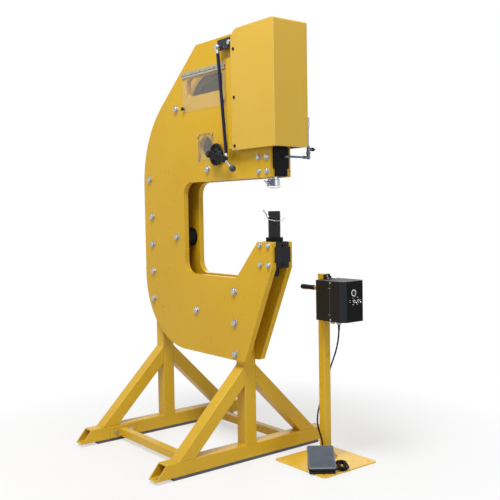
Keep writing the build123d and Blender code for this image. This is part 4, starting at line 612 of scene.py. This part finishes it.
def fastener_tree():
    """One fastener on each point, standing along the point's facing and turned at random."""
    tree, given, result = new_tree(FASTENER_TREE, (
        ("Places", "NodeSocketGeometry"), ("Fastener", "NodeSocketObject"), ("Spin", "NodeSocketFloat"),
        ("Seed", "NodeSocketInt"), ("Finish", "NodeSocketMaterial")))
    shape = add(tree, "GeometryNodeObjectInfo", Object=given["Fastener"])
    way = add(tree, "GeometryNodeInputNamedAttribute", {"data_type": "FLOAT_VECTOR"}, Name="facing")
    stand = add(tree, "FunctionNodeAlignRotationToVector", {"axis": "Z"}, Vector=way.outputs["Attribute"])
    angle = random_number(tree, 0.0, given["Spin"], given["Seed"])
    spin = add(tree, "FunctionNodeAxisAngleToRotation", Axis=(0.0, 0.0, 1.0), Angle=angle)
    both = add(tree, "FunctionNodeRotateRotation", {"rotation_space": "LOCAL"}, Rotation=stand.outputs[0],
               Rotate_By=spin.outputs[0])
    spread = add(tree, "GeometryNodeInstanceOnPoints", Points=given["Places"],
                 Instance=shape.outputs["Geometry"], Rotation=both.outputs[0])
    finish_tree(tree, spread.outputs[0], given["Finish"], result)
    return tree


def weld_tree():
    """Overlapping ripples of a weld along each line."""
    tree, given, result = new_tree("weld_beads", (
        ("Lines", "NodeSocketGeometry"), ("Bead Width", "NodeSocketFloat"),
        ("Ripple Step", "NodeSocketFloat"), ("Seed", "NodeSocketInt"), ("Finish", "NodeSocketMaterial")))
    line = add(tree, "GeometryNodeMeshToCurve", Mesh=given["Lines"])
    steps = add(tree, "GeometryNodeResampleCurve", {"mode": "LENGTH"}, Curve=line.outputs[0],
                Length=given["Ripple Step"])
    half = calc(tree, "MULTIPLY", given["Bead Width"], 0.5)
    ripple = add(tree, "GeometryNodeMeshIcoSphere", Radius=half, Subdivisions=2)
    along = add(tree, "GeometryNodeInputTangent")
    lie = add(tree, "FunctionNodeAlignRotationToVector", {"axis": "X"}, Vector=along.outputs[0])
    size = random_number(tree, 0.85, 1.12, given["Seed"])
    spread = add(tree, "GeometryNodeInstanceOnPoints", Points=steps.outputs[0], Instance=ripple.outputs[0],
                 Rotation=lie.outputs[0], Scale=size)
    finish_tree(tree, spread.outputs[0], given["Finish"], result)
    return tree


def grille_tree():
    """Wire rings round one centre, evenly spaced."""
    tree, given, result = new_tree("wire_rings", (
        ("Start", "NodeSocketGeometry"), ("Rings", "NodeSocketInt"), ("Outer Radius", "NodeSocketFloat"),
        ("Wire", "NodeSocketFloat"), ("Place", "NodeSocketVector"), ("Turn", "NodeSocketVector"),
        ("Finish", "NodeSocketMaterial")))
    ring = add(tree, "GeometryNodeCurvePrimitiveCircle", Resolution=48, Radius=1.0)
    row = add(tree, "GeometryNodeMeshLine", Count=given["Rings"], Offset=(0.0, 0.0, 0.0))
    number = calc(tree, "ADD", add(tree, "GeometryNodeInputIndex").outputs[0], 1.0)
    share = calc(tree, "DIVIDE", number, given["Rings"])
    rings = add(tree, "GeometryNodeInstanceOnPoints", Points=row.outputs[0], Instance=ring.outputs[0],
                Scale=calc(tree, "MULTIPLY", share, given["Outer Radius"]))
    lines = add(tree, "GeometryNodeRealizeInstances", Geometry=rings.outputs[0])
    section = add(tree, "GeometryNodeCurvePrimitiveCircle", Resolution=8, Radius=given["Wire"])
    wires = add(tree, "GeometryNodeCurveToMesh", Curve=lines.outputs[0], Profile_Curve=section.outputs[0])
    moved = add(tree, "GeometryNodeTransform", Geometry=wires.outputs[0], Translation=given["Place"],
                Rotation=given["Turn"])
    finish_tree(tree, moved.outputs[0], given["Finish"], result)
    return tree


def grown(tree, start, values):
    """Plain mesh that a node tree makes from a start mesh and its named inputs."""
    carrier = new_object("carrier", start)
    modifier = carrier.modifiers.new("grow", "NODES")
    modifier.node_group = tree
    for item in tree.interface.items_tree:
        if item.in_out == "INPUT" and item.name in values:
            modifier[item.identifier] = values[item.name]
    graph = bpy.context.evaluated_depsgraph_get()
    mesh = bpy.data.meshes.new_from_object(carrier.evaluated_get(graph))
    bpy.data.objects.remove(carrier)
    return mesh


def join_mesh(bm, mesh, finish):
    first = len(bm.faces)
    bm.from_mesh(mesh)
    bm.faces.ensure_lookup_table()
    for face in bm.faces[first:]:
        face.material_index = finish


def fasteners(name, groups, body, slot, *replaced):
    """One piece of fasteners. A group is (mesh of one, its finish, [(place, way it faces), ...])."""
    tree = bpy.data.node_groups.get(FASTENER_TREE) or fastener_tree()
    bm = bmesh.new()
    materials = []
    for mesh, finish, places in groups:
        shape = new_object("fastener", mesh)
        start = bpy.data.meshes.new("places")
        start.from_pydata([tuple(spot) for spot, _ in places], [], [])
        facing = start.attributes.new("facing", "FLOAT_VECTOR", "POINT")
        for row, (_, way) in zip(facing.data, places):
            row.vector = way
        made = grown(tree, start, {"Fastener": shape, "Spin": 2 * math.pi, "Seed": 5,
                                   "Finish": finishes[finish]})
        bpy.data.objects.remove(shape)
        join_mesh(bm, made, len(materials))
        materials.append(finish)
    make_piece(name, bm, materials, body, slot, *replaced)


# Fastener shapes, standing on the origin

def hex_head(half_flats, height, washer=None, thread=None):
    """Hexagon head or nut with a chamfered top, on a washer, with a thread end above it."""
    bm = bmesh.new()
    base = 0.0
    if washer:
        r, base = washer
        turned(bm, ORIGIN, UP, [(0, 0), (0, r), (0.7 * base, r), (base, 0.94 * r), (base, 0)], 30)
    top = base + height
    shoulder = base + 0.8 * height
    turned(bm, ORIGIN, UP, [
        (base, 0), (base, half_flats, hex_form), (shoulder, half_flats, hex_form), (top, 0.94 * half_flats),
        (top, 0)], 36)
    if thread:
        r, length = thread
        rows = [(top, 0.0)]
        turns = 3
        for k in range(turns):
            rows += [(top + length * k / turns, 0.9 * r), (top + length * (k + 0.5) / turns, r)]
        turned(bm, ORIGIN, UP, rows + [(top + length, 0.85 * r), (top + length, 0.0)], 20)
    return smooth_mesh("hex_head", bm)


def socket_head(r, height, dome=0.0):
    """Cylinder or button head with a hexagon socket."""
    bm = bmesh.new()
    key = 0.5 * r
    floor = 0.45 * height
    edge = 0.7 * height if dome else 0.9 * height
    turned(bm, ORIGIN, UP, [
        (0, 0), (0, r), (edge, r), (height, r - dome - 0.1 * r), (height, key, hex_form),
        (floor, key, hex_form), (floor, 0)], 36)
    return smooth_mesh("socket_head", bm)


def pan_head(r, height):
    """Domed head with a cross recess."""
    bm = bmesh.new()

    def cross(angle):
        return 1.0 if abs(math.cos(2 * angle)) > 0.9 else 0.35

    turned(bm, ORIGIN, UP, [
        (0, 0), (0, r), (0.35 * height, r), (0.8 * height, 0.85 * r), (height, 0.62 * r),
        (height, 0.55 * r, cross), (0.55 * height, 0.5 * r, cross), (0.5 * height, 0)], 48)
    return smooth_mesh("pan_head", bm)


# Bolts and welds of the frame

def frame_fasteners():
    heads = [((x, -OUTER, z), NEAR) for x, z in THROUGH_BOLTS]
    nuts = [((x, OUTER, z), FAR) for x, z in THROUGH_BOLTS]
    block = [((x, side.y * OUTER, z), side)
             for x in BLOCK_BOLTS_X for z in BLOCK_BOLTS_Z for side in (NEAR, FAR)]
    flange = []
    for side in (-1, 1):
        for step in (-FLANGE_BOLT_HALF, FLANGE_BOLT_HALF):
            y = side * CROSS_Y + step
            flange += [((REAR_X + TUBE_HALF + 0.005, y, FLANGE_BOLT_Z), FRONT),
                       ((-TUBE_HALF - 0.005, y, FLANGE_BOLT_Z), REAR)]
    fasteners("frame_bolt_set", [
        (hex_head(13, 10, (17, 3)), "zinc_steel", heads),
        (hex_head(13, 13, (17, 3), (8, 4)), "zinc_steel", nuts),
        (hex_head(9.5, 8, (12, 2)), "zinc_steel", block),
        (hex_head(9.5, 8), "zinc_steel", flange)], "frame", "zinc_steel", "frame_bolts")

    cover = [((COVER_SCREW_X, side.y * COVER_Y, z), side) for z in COVER_SCREWS_Z for side in (NEAR, FAR)]
    window = [((INSPECT[0] + i * INSPECT_REACH, -OUTER - 0.004, INSPECT[1] + k * INSPECT_REACH), NEAR)
              for i in (-1, 1) for k in (-1, 1)]
    cap = [((0.271, 0.0, z), FRONT) for z in (0.905, 0.985)]
    fasteners("cover_screw_set", [
        (socket_head(6.5, 5, 1.5), "black_screw", cover),
        (pan_head(5, 4), "zinc_steel", window),
        (socket_head(7, 8), "black_screw", cap)], "frame", "black_screw", "cover_screws")


def hinge_screws():
    """Small screws along both leaves of the guard hinge."""
    fixed = [((x, -OUTER - 0.002, 1.7945), NEAR) for x in HINGE_SCREWS_X]
    moving = [((x, HINGE_Y - 0.002, 1.7752), NEAR) for x in HINGE_SCREWS_X]
    fasteners("hinge_fixed_screws", [(pan_head(2.8, 1.6), "machined_steel", fixed)], "frame", "zinc_steel")
    fasteners("hinge_leaf_screws", [(pan_head(2.8, 1.6), "machined_steel", moving)], "guard", "zinc_steel")


def weld_beads():
    """Fillet welds at the feet and heads of the braces, under the posts and round the pedestal's foot."""
    lines = []
    for x in (0.0, REAR_X):
        for side in (-1, 1):
            foot = [(y, RAIL_TOP) for y in (TUBE_HALF, BRACE_FOOT - BRACE_CUT, BRACE_FOOT + BRACE_CUT)]
            head_z = RAIL_TOP + BRACE_FOOT - TUBE_HALF
            head = [(TUBE_HALF, head_z - BRACE_CUT), (TUBE_HALF, head_z + BRACE_CUT)]
            for y, z in foot + head:
                lines.append(((x - WELD_HALF, side * y, z), (x + WELD_HALF, side * y, z)))
    for side in (-1, 1):
        edge = side * POLE_HALF
        x, y = POLE
        lines.append(((x + edge, y - 0.015, BASE_T), (x + edge, y + 0.015, BASE_T)))
        lines.append(((x - 0.015, y + edge, BASE_T), (x - 0.004, y + edge, BASE_T)))
        lines.append(((x + 0.004, y + edge, BASE_T), (x + 0.015, y + edge, BASE_T)))
        for face in (-0.003, 0.003):
            lines.append(((x + face, y + 1.4 * edge, BASE_T), (x + face, y + side * 0.066, BASE_T)))
    start = bpy.data.meshes.new("weld_lines")
    edges = [(2 * i, 2 * i + 1) for i in range(len(lines))]
    start.from_pydata([end for line in lines for end in line], edges, [])
    # The beads take the tubes' lighter yellow, which is painted light.
    made = grown(weld_tree(), start, {"Bead Width": 0.0065, "Ripple Step": 0.0028, "Seed": 11,
                                       "Finish": finishes["lit_tube_yellow"]})
    bm = bmesh.new()
    join_mesh(bm, made, 0)
    make_piece("stand_weld_beads", bm, ["lit_tube_yellow"], "frame", "yellow_paint")


# Hand linkage and guard

def diagonal_four(centre, r, y, way):
    """Four fastener places round a centre in a plate, on its diagonals."""
    angles = [math.pi * (0.25 + 0.5 * k) for k in range(4)]
    return [((centre[0] + r * math.cos(a), y, centre[1] + r * math.sin(a)), way) for a in angles]


def lever_flange():
    """Round bearing flange with a raised rim and the stub that carries the lever."""
    bm = bmesh.new()
    x, z = LEVER_PIVOT
    centre = (x, -OUTER, z)
    turned(bm, centre, NEAR, [
        (0, 0), (0, 30), (9.5, 30), (9.5, 48.8), (10.7, 50), (15, 50), (17, 48.2), (17, 44), (12.2, 42),
        (12.2, 27), (18.5, 22.5), (21, 18), (45.85, 18), (45.85, 12)], 72)
    turned(bm, centre, NEAR, [(45, 0), (45, 12), (60.3, 12), (61.85, 10.5), (61.85, 0)], 40, 1)
    box(bm, (x + 0.019, -OUTER - 0.0155, z + 0.002), (x + 0.043, -OUTER - 0.0115, z + 0.013), 2, 0.0008)
    make_piece("lever_flange_bearing", bm, ["lever_paint", "black_screw", "blue_pad"], "frame",
               "black_paint", "lift_flange")
    spots = diagonal_four(LEVER_PIVOT, r=0.0345, y=-OUTER - 0.0122, way=NEAR)
    fasteners("lever_flange_screws", [(socket_head(4.2, 4.5), "black_screw", spots)],
              "frame", "black_screw")


def lever_handle():
    """Plated rod screwed into the lever's end, with a ball grip."""
    run = Vector((BALL[0] - LEVER_END[0], 0.0, BALL[1] - LEVER_END[1]))
    reach = run.length / MM
    start = Vector((LEVER_END[0], LEVER_Y, LEVER_END[1]))
    bm = bmesh.new()
    turned(bm, start, run, [
        (15.5, 0), (15.5, 6.4, hex_form), (19.5, 6.4, hex_form), (20.5, 5.2), (20.5, 4.2),
        (reach - 11, 4.2), (reach - 11, 0)], 36)
    turned(bm, start, run, ball_profile(reach - 13.5, 15, 6.5), 40, 1)
    make_piece("lever_ball_handle", bm, ["chrome", "ball_grip"], "lever", "black_plastic",
               "lever_handle")


def guard_knobs():
    """Three-lobed clamp knobs at the lower corners of the guard."""
    bm = bmesh.new()
    for x, z in GUARD_KNOBS:
        turned(bm, (x, HINGE_Y, z), NEAR, [
            (0, 0), (0, 5), (5, 5), (5, 8.5, lobed_form), (6.5, 9.8, lobed_form), (12.5, 9.8, lobed_form),
            (14.5, 8, lobed_form), (15, 4), (15, 0)], 48)
    make_piece("guard_clamp_knobs", bm, ["black_plastic"], "guard", "black_plastic", "guard_knobs")


# Tool end and oil feed

def tool_socket():
    """Upper die socket with upright relief slots round its wall."""
    slots = [math.radians(a) for a in (15, 75, 135, 195, 255, 315)]

    def slotted(angle):
        gaps = [abs((angle - slot + math.pi) % (2 * math.pi) - math.pi) for slot in slots]
        return 0.86 if min(gaps) < math.radians(7) else 1.0

    bm = bmesh.new()
    turned(bm, (TOOL_X, 0.0, 1.238), UP, [
        (24, 0), (24, 12.7), (0, 12.7), (0, 25), (1.5, 26.5), (3, 26.5), (3, 26.5, slotted),
        (26.2, 26.5, slotted), (26.2, 26.5), (26.5, 26.5), (28, 25), (28, 0)], 96)
    make_piece("upper_die_socket", bm, ["socket_steel"], "ram_group", "machined_steel", "upper_tool_holder")


def oil_feed():
    """Oil pipe with its nuts, elbow, needle valve body and the clear sleeve on its upright tube."""
    x, y = OILER
    bm = bmesh.new()
    turned(bm, (0.269, 0.015, OILER_Z), FRONT, [
        (0, 0), (0, 6.8, hex_form), (6, 6.8, hex_form), (7, 6), (14, 5.8), (16, 4.5), (16, 0)])
    turned(bm, (x, 0.015, OILER_Z), FAR, [
        (-4, 0), (-5.5, 3), (-2, 5.6), (6, 5.8), (6, 6.6, hex_form), (20, 6.6, hex_form), (20, 5), (100, 5),
        (100, 6.6, hex_form), (112, 6.6, hex_form), (112, 5.8), (121, 7), (121, 0)])
    turned(bm, (x, y, OILER_Z), UP, [
        (-9, 0), (-8.8, 4), (-6, 7.8), (0, 8.8), (8, 7.8), (14, 7.2), (14, 8.2, hex_form),
        (23, 8.2, hex_form), (23, 7.2), (40, 7.2), (40, 6.4, hex_form), (47, 6.4, hex_form), (49, 4.2),
        (49, 3), (125, 3), (125, 4.6), (130, 4.6), (130, 0)])
    turned(bm, (x, y, 1.395), FAR, [
        (0, 0), (0, 6), (10, 6), (10, 6.4, hex_form), (16, 6.4, hex_form), (18, 5.2), (18, 2.7), (9, 2.7),
        (9, 0)])
    turned(bm, (x, y, 1.490), UP, [
        (0, 0), (0, 5.8), (1.5, 7), (38, 7), (40.5, 5.8), (42, 3), (42, 0)], 36, 1)
    make_piece("oil_feed_line", bm, ["oiler_metal", "sight_sleeve"], "frame", "oiler_metal",
               "drip_oiler")


# Motor

def motor_trim():
    """Fan cowl grille, terminal box lid and the bolts of motor and flywheel axle."""
    bm = bmesh.new()
    centre = Vector((MOTOR[0], MOTOR_END, MOTOR[1]))
    rings = grown(grille_tree(), bpy.data.meshes.new("start"), {
        "Rings": 6, "Outer Radius": 0.066, "Wire": 0.0016, "Place": centre + FAR * 0.0012,
        "Turn": (math.pi / 2, 0.0, 0.0), "Finish": finishes["motor_grey"]})
    join_mesh(bm, rings, 0)
    for k in range(6):
        angle = math.pi / 3 * k
        ray = Vector((math.cos(angle), 0.0, math.sin(angle)))
        turned(bm, centre + FAR * 0.0012, ray, [(8, 0), (8, 1.8), (67, 1.8), (67, 0)], 8)
    turned(bm, centre, FAR, [(0, 0), (0, 10), (2, 10), (3, 8), (3, 0)])
    lid_y = 0.1794
    lid_top = MOTOR[1] + 0.126
    slab(bm, (MOTOR[0], lid_y, lid_top - 0.002), (0.0495, 0.0565, 0.002), 0, 0.0012)
    make_piece("motor_trim", bm, ["motor_grey"], "frame", "motor_grey")
    lid = [((MOTOR[0] + i * 0.042, lid_y + k * 0.049, lid_top), UP) for i in (-1, 1) for k in (-1, 1)]
    motor = diagonal_four(MOTOR, r=0.0872, y=OUTER + 0.012, way=FAR)
    axle = diagonal_four(FLYWHEEL, r=0.036, y=OUTER + 0.010, way=FAR)
    ring = [spot for pair in zip(motor, axle) for spot in pair]
    fasteners("motor_bolt_set", [
        (pan_head(3.5, 2), "zinc_steel", lid),
        (hex_head(6.5, 5.5), "zinc_steel", ring)], "frame", "zinc_steel")


# Control pedestal

def hand_grip():
    """Moulded grip on a long brass ferrule at the pole's rear face."""
    bm = bmesh.new()
    face = (POLE[0] - POLE_HALF, POLE[1], 0.783)
    turned(bm, face, REAR, [
        (0, 0), (0, 9.8), (2, 10), (25.5, 10), (26, 9.2), (27.5, 9.2), (28, 10), (37, 9.8), (39, 8.6),
        (39, 0)], 36, 1)
    turned(bm, face, REAR, [
        (38, 0), (38, 10.8), (41, 11.4), (60, 10.8), (85, 11.2), (108, 12), (118, 11.9), (124.5, 9.8),
        (127.5, 6), (128, 0)], 40)
    make_piece("pedestal_hand_grip", bm, ["black_plastic", "brass"], "frame", "black_plastic",
               "pedestal_grip")


def glands():
    """Two cable glands under the box: a hexagon seat and a ribbed dome nut."""
    bm = bmesh.new()
    for x in GLANDS_X:
        turned(bm, (x, POLE[1], 0.652), DOWN, [
            (-2, 0), (-2, 7), (0, 7), (0, 11.8, hex_form), (5.5, 11.8, hex_form), (6.2, 10.8), (7.5, 10.6),
            (7.8, 11.6, fluted_form), (17.5, 11.1, fluted_form), (21.2, 8.6), (22, 6.4), (22, 0)], 72)
    make_piece("gland_pair", bm, ["gland_grey"], "frame", "gland_grey", "cable_glands")


def speed_knob():
    """Low fluted knob with a pointer line."""
    bm = bmesh.new()
    centre = (CASE_FRONT + 0.0015, *KNOB_YZ)
    turned(bm, centre, FRONT, [
        (0, 0), (0, 8.8), (0.6, 8.8), (1, 8.5, fluted_form), (2.8, 8.3, fluted_form), (3.4, 7.6),
        (3.4, 0)], 72)
    y, z = KNOB_YZ
    face = CASE_FRONT + 0.0049
    box(bm, (face - 0.0006, y - 0.0005, z + 0.003), (face + 0.0002, y + 0.0005, z + 0.0070), 1)
    make_piece("fluted_speed_knob", bm, ["black_plastic", "white_mark"], "dial", "black_plastic",
               "speed_knob")


def box_trim():
    """Marks, corner screws, side clips and the bracket at the pole."""
    bm = bmesh.new()
    marks = [(y, z + step, 0.004, 0.0009) for y, z in SWITCHES_YZ for step in (-0.0145, 0.0145)]
    marks += [(y, z, 0.0035, 0.0007) for y in (0.2135, 0.2745) for z in (0.7385, 0.7455)]
    for y, z, half_y, half_z in marks:
        slab(bm, (CASE_FRONT + 0.00005, y, z), (0.00025, half_y, half_z))
    y, z = KNOB_YZ
    dial = CASE_FRONT + 0.0012
    turned(bm, (dial, y, z), FRONT, [(-0.4, 10.4), (-0.4, 14.5), (0.3, 14.5), (0.3, 10.4), (-0.4, 10.4)], 64)
    box(bm, (dial - 0.0004, y + 0.0035, z - 0.0170), (dial + 0.0003, y + 0.0080, z - 0.0120))
    make_piece("switch_marks", bm, ["white_mark"], "frame", "gland_grey")

    bm = bmesh.new()
    for z in (0.681, 0.795):
        slab(bm, (CASE_SPLIT + 0.001, CASE_SIDE - 0.0009, z), (0.0095, 0.0009, 0.0045), 0, 0.0006)
        slab(bm, (CASE_SPLIT + 0.001, CASE_SIDE - 0.0024, z), (0.009, 0.0012, 0.0018), 1, 0.0007)
    pole_face = POLE[0] + POLE_HALF
    half = 0.0205
    box(bm, (pole_face, POLE[1] - half, 0.800), (pole_face + 0.003, POLE[1] + half, 0.8475), 0, 0.0008)
    box(bm, (pole_face, POLE[1] - half, CASE_TOP), (0.3105, POLE[1] + half, CASE_TOP + 0.003), 0, 0.0008)
    for y in (POLE[1] - half, POLE[1] + half - 0.003):
        box(bm, (pole_face, y, CASE_TOP), (pole_face + 0.011, y + 0.003, CASE_TOP + 0.012), 0, 0.0008)
    # Light strips along the split on both sides stand for the highlight on the rear half's front edge:
    # painted highlight.
    half_t = 0.0004
    half_tall = (CASE_TOP - CASE_LOW) / 2 - 0.003
    for y in (CASE_SIDE - half_t, CASE_FAR + half_t):
        slab(bm, (CASE_SPLIT, y, (CASE_LOW + CASE_TOP) / 2), (0.001, half_t, half_tall), 2)
    make_piece("box_clips_and_bracket", bm, ["case_black", "clip_grey", "seam_highlight_grey"], "frame", "case_black")

    corners = [((CASE_FRONT, y, z), FRONT) for y in (0.2045, 0.2795) for z in (0.661, 0.818)]
    side = [((CASE_SPLIT + 0.004, CASE_SIDE - 0.0008, z), NEAR) for z in (CASE_LOW + 0.008, CASE_TOP - 0.008)]
    top = [((0.301, POLE[1] + k * 0.011, CASE_TOP + 0.003), UP) for k in (-1, 1)]
    pole = [((pole_face + 0.003, POLE[1], 0.839), FRONT)]
    fasteners("box_screw_set", [
        (pan_head(2.8, 1.8), "black_screw", corners), (pan_head(4.2, 2.2), "zinc_steel", side),
        (hex_head(4, 3), "zinc_steel", top + pole)], "frame", "zinc_steel")


# Foot switch

def pedal_spot(across, depth, height):
    """Place on or beside the foot switch, from the middle of its front edge."""
    c, s, _ = PEDAL_ACROSS
    return Vector((PEDAL_FRONT[0] + across * c - depth * s, PEDAL_FRONT[1] + across * s + depth * c, height))


def treadle_loop(inset, above):
    """Rounded rectangle inside the treadle's edge, a height above its sloping top."""
    r = max(0.009 - inset, 0.001)
    corners = ((PEDAL_HALF - inset, inset, -90), (PEDAL_HALF - inset, PEDAL_DEPTH - inset, 0),
               (-PEDAL_HALF + inset, PEDAL_DEPTH - inset, 90), (-PEDAL_HALF + inset, inset, 180))
    points = []
    for across, depth, first in corners:
        centre = (across - math.copysign(r, across), depth + (r if depth < PEDAL_DEPTH / 2 else -r))
        for k in range(7):
            angle = math.radians(first + 15 * k)
            spot = (centre[0] + r * math.cos(angle), centre[1] + r * math.sin(angle))
            points.append(pedal_spot(*spot, BASE_T + PEDAL_FRONT_H + spot[1] * PEDAL_RISE + above))
    return points


def treadle():
    """Rounded treadle: dark body, raised rim and a textured pad inside it."""
    bm = bmesh.new()
    rows = ((0.0025, -TREADLE_DROP, 0), (0.0, -TREADLE_DROP + 0.0025, 0), (0.0, -0.0028, 0),
            (0.0008, -0.0009, 2), (0.0026, 0.0, 2), (0.0044, 0.0, 2), (0.0056, -0.0010, 1))
    loops = [[bm.verts.new(p) for p in treadle_loop(inset, above)] for inset, above, _ in rows]
    count = len(loops[0])
    for (low, high), (_, _, finish) in zip(zip(loops, loops[1:]), rows[1:]):
        for k in range(count):
            n = (k + 1) % count
            bm.faces.new((low[k], low[n], high[n], high[k])).material_index = finish
    bm.faces.new(loops[0]).material_index = 0
    bm.faces.new(loops[-1]).material_index = 1
    barrel = pedal_spot(-0.040, 0.009, BASE_T + 0.012)
    turned(bm, barrel, PEDAL_ACROSS, [(0, 0), (0, 5), (80, 5), (80, 0)], 24)
    make_piece("treadle_pad", bm, ["black_plastic", "treadle_grey", "rim_grey"], "treadle",
               "treadle_grey", "pedal_treadle")


def relief_rows(length, wide, slim):
    """Rows of a tapered strain relief with grooves between its ribs, in millimetres."""
    rows = [(-2, 0), (-2, wide), (4, wide)]
    ribs = 5
    pitch = (length - 6) / ribs
    groove = 0.6
    for k in range(ribs):
        r = wide + (slim - wide) * (k + 1) / ribs
        along = 4 + pitch * k
        rows += [(along, r), (along + 0.55 * pitch, r), (along + 0.6 * pitch, r - groove),
                 (along + pitch, r - groove)]
    return rows + [(length, slim - 0.4), (length, 0)]


def coil_points():
    """Points of the oblong turns beside the foot switch: they close in, climb a layer and open out again."""
    turns = []
    for k in range(COIL_HALF_TURNS):
        height = CORD_FLOOR + (CORD_LAYER if k >= COIL_REVERSAL else 0.0)
        r = COIL_TIGHT_R + abs(k - COIL_REVERSAL) * COIL_PITCH / 2
        turns.append((COIL_FRONT if k % 2 else COIL_REAR, r, height))
    rows = []
    heading = 0.0
    for k, (depth, r, height) in enumerate(turns):
        leave = math.pi
        if k + 1 < len(turns):
            ahead, next_r, _ = turns[k + 1]
            leave = math.copysign(math.pi / 2, ahead - depth) + math.asin((next_r - r) / abs(ahead - depth))
        sweep = (heading - leave) % (2 * math.pi)
        count = round(sweep / math.radians(30))
        half = sweep / count / 2
        reach = r / math.cos(half)
        row = []
        for i in range(-1, count + 1):
            angle = heading - (2 * i + 1) * half
            across = COIL_SIDE - reach * math.sin(angle)
            row.append(pedal_spot(across, depth + reach * math.cos(angle), height))
        rows.append(row)
        heading = leave
    below, above = rows[COIL_REVERSAL - 1], rows[COIL_REVERSAL]
    run = above[0] - below[-1]
    run.z = 0.0
    below.append(below[-1] + run * CLIMB_FROM)
    above.insert(0, above[0] - run.normalized() * CLIMB_LEVEL)
    return [point for row in rows for point in row]


def pedal_cord():
    """The cord from the gland, round the pole and through its loose coil to the foot switch."""
    route = [Vector(p) for p in (
        GLAND, (0.355, 0.243, 0.584), (0.321, 0.259, 0.510), (0.262, 0.279, 0.424), (0.230, 0.276, 0.338),
        (0.220, 0.254, 0.262), (0.232, 0.222, 0.208), (0.254, 0.203, 0.164), (0.279, 0.204, 0.116))]
    landing = ((0.016, 0.147, 0.080), (0.0165, 0.143, 0.043), (0.0275, 0.139, 0.021),
               (0.046, 0.1365, CORD_FLOOR), (0.065, 0.135, CORD_FLOOR))
    top = CORD_FLOOR + CORD_LAYER
    port = pedal_spot(*PORT, top)
    route += [pedal_spot(*p) for p in landing] + coil_points() + [port]

    curve = bpy.data.curves.new("pedal_cord_line", "CURVE")
    curve.dimensions = "3D"
    spline = curve.splines.new("NURBS")
    spline.points.add(len(route) - 1)
    for point, spot in zip(spline.points, route):
        point.co = (*spot, 1.0)
    spline.order_u = 3
    spline.use_endpoint_u = True
    spline.resolution_u = 8
    curve.bevel_depth = CORD_R
    curve.bevel_resolution = 5
    curve.use_fill_caps = True
    curve.materials.append(finishes["cord_black"])
    cord = new_object("foot_switch_cord", curve)
    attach(cord, "frame")
    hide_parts("pedal_cord", "cord_coil")

    bm = bmesh.new()
    turned(bm, GLAND, DOWN, relief_rows(26, 5.6, 4.3), 28)
    upper = make_piece("gland_strain_relief", bm, ["cord_black"], "frame", "cord_black")
    bm = bmesh.new()
    turned(bm, port, PEDAL_ACROSS, relief_rows(21, 5.8, 4.3), 28)
    lower = make_piece("pedal_strain_relief", bm, ["cord_black"], "frame", "cord_black")


# Stage

def seen_directly(tree):
    """1 for what the camera sees, also in metal or through clear sheet, and 0 for light on the object."""
    path = add(tree, "ShaderNodeLightPath")
    seen = calc(tree, "MAXIMUM", path.outputs["Is Camera Ray"], path.outputs["Is Glossy Ray"])
    return calc(tree, "MAXIMUM", seen, path.outputs["Is Transmission Ray"])


def studio():
    """Pale floor that fades into white surroundings, and soft lamps."""
    world = bpy.data.worlds.new("studio")
    scene.world = world
    world.use_nodes = True
    tree = world.node_tree
    seen = seen_directly(tree)
    sky = tree.nodes["Background"]
    ambient = 0.27
    strength = calc(tree, "ADD", calc(tree, "MULTIPLY", seen, 1.0 - ambient), ambient)
    feed_all(tree, sky, Color=(1.0, 1.0, 1.0, 1.0), Strength=strength)

    bpy.ops.mesh.primitive_plane_add(size=60.0, location=(0, 0, -0.0004))
    floor = bpy.context.object
    floor.name = "floor"
    material, tree, shader = new_material("floor_white")
    far = spread_of(tree, distance_from(tree, (-0.15, 0.0, 0.0)), 0.8, 1.6, 0.55, 1.0)
    cloud = spread_of(tree, mottle(tree, 0.8), 0.3, 0.7, 0.0, 1.0)
    pale = blend_colours(tree, cloud, (0.82, 0.82, 0.82), (0.80, 0.80, 0.80))
    white = calc(tree, "MULTIPLY", seen_directly(tree), far)
    shade = blend_colours(tree, white, pale, (0.0, 0.0, 0.0))
    feed_all(tree, shader, Base_Color=shade, Roughness=0.9, Specular_IOR_Level=0.0,
             Emission_Color=(1.0, 1.0, 1.0, 1.0), Emission_Strength=white)
    floor.data.materials.append(material)

    lamps = (("top", (1.1, -1.9, 4.6), 1.8, 184.0), ("key", (-0.6, -4.4, 2.4), 2.4, 30.0),
             ("fill", (4.4, 0.9, 1.8), 2.4, 40.0), ("back", (-2.6, 3.0, 3.2), 2.4, 52.0))
    for name, spot, size, power in lamps:
        lamp = bpy.data.lights.new(name, "AREA")
        lamp.size = size
        lamp.energy = power
        made = new_object(name, lamp)
        made.location = spot
        made.rotation_mode = "QUATERNION"
        made.rotation_quaternion = (Vector((0, 0, 0.9)) - Vector(spot)).to_track_quat("-Z", "Y")


# Making

photo_camera()
make_finishes()
pedal_cord()
dress_nodes()
frame_fasteners()
hinge_screws()
weld_beads()
lever_flange()
lever_handle()
guard_knobs()
tool_socket()
oil_feed()
motor_trim()
hand_grip()
glands()
speed_knob()
box_trim()
treadle()
studio()
scene.view_settings.view_transform = "Standard"
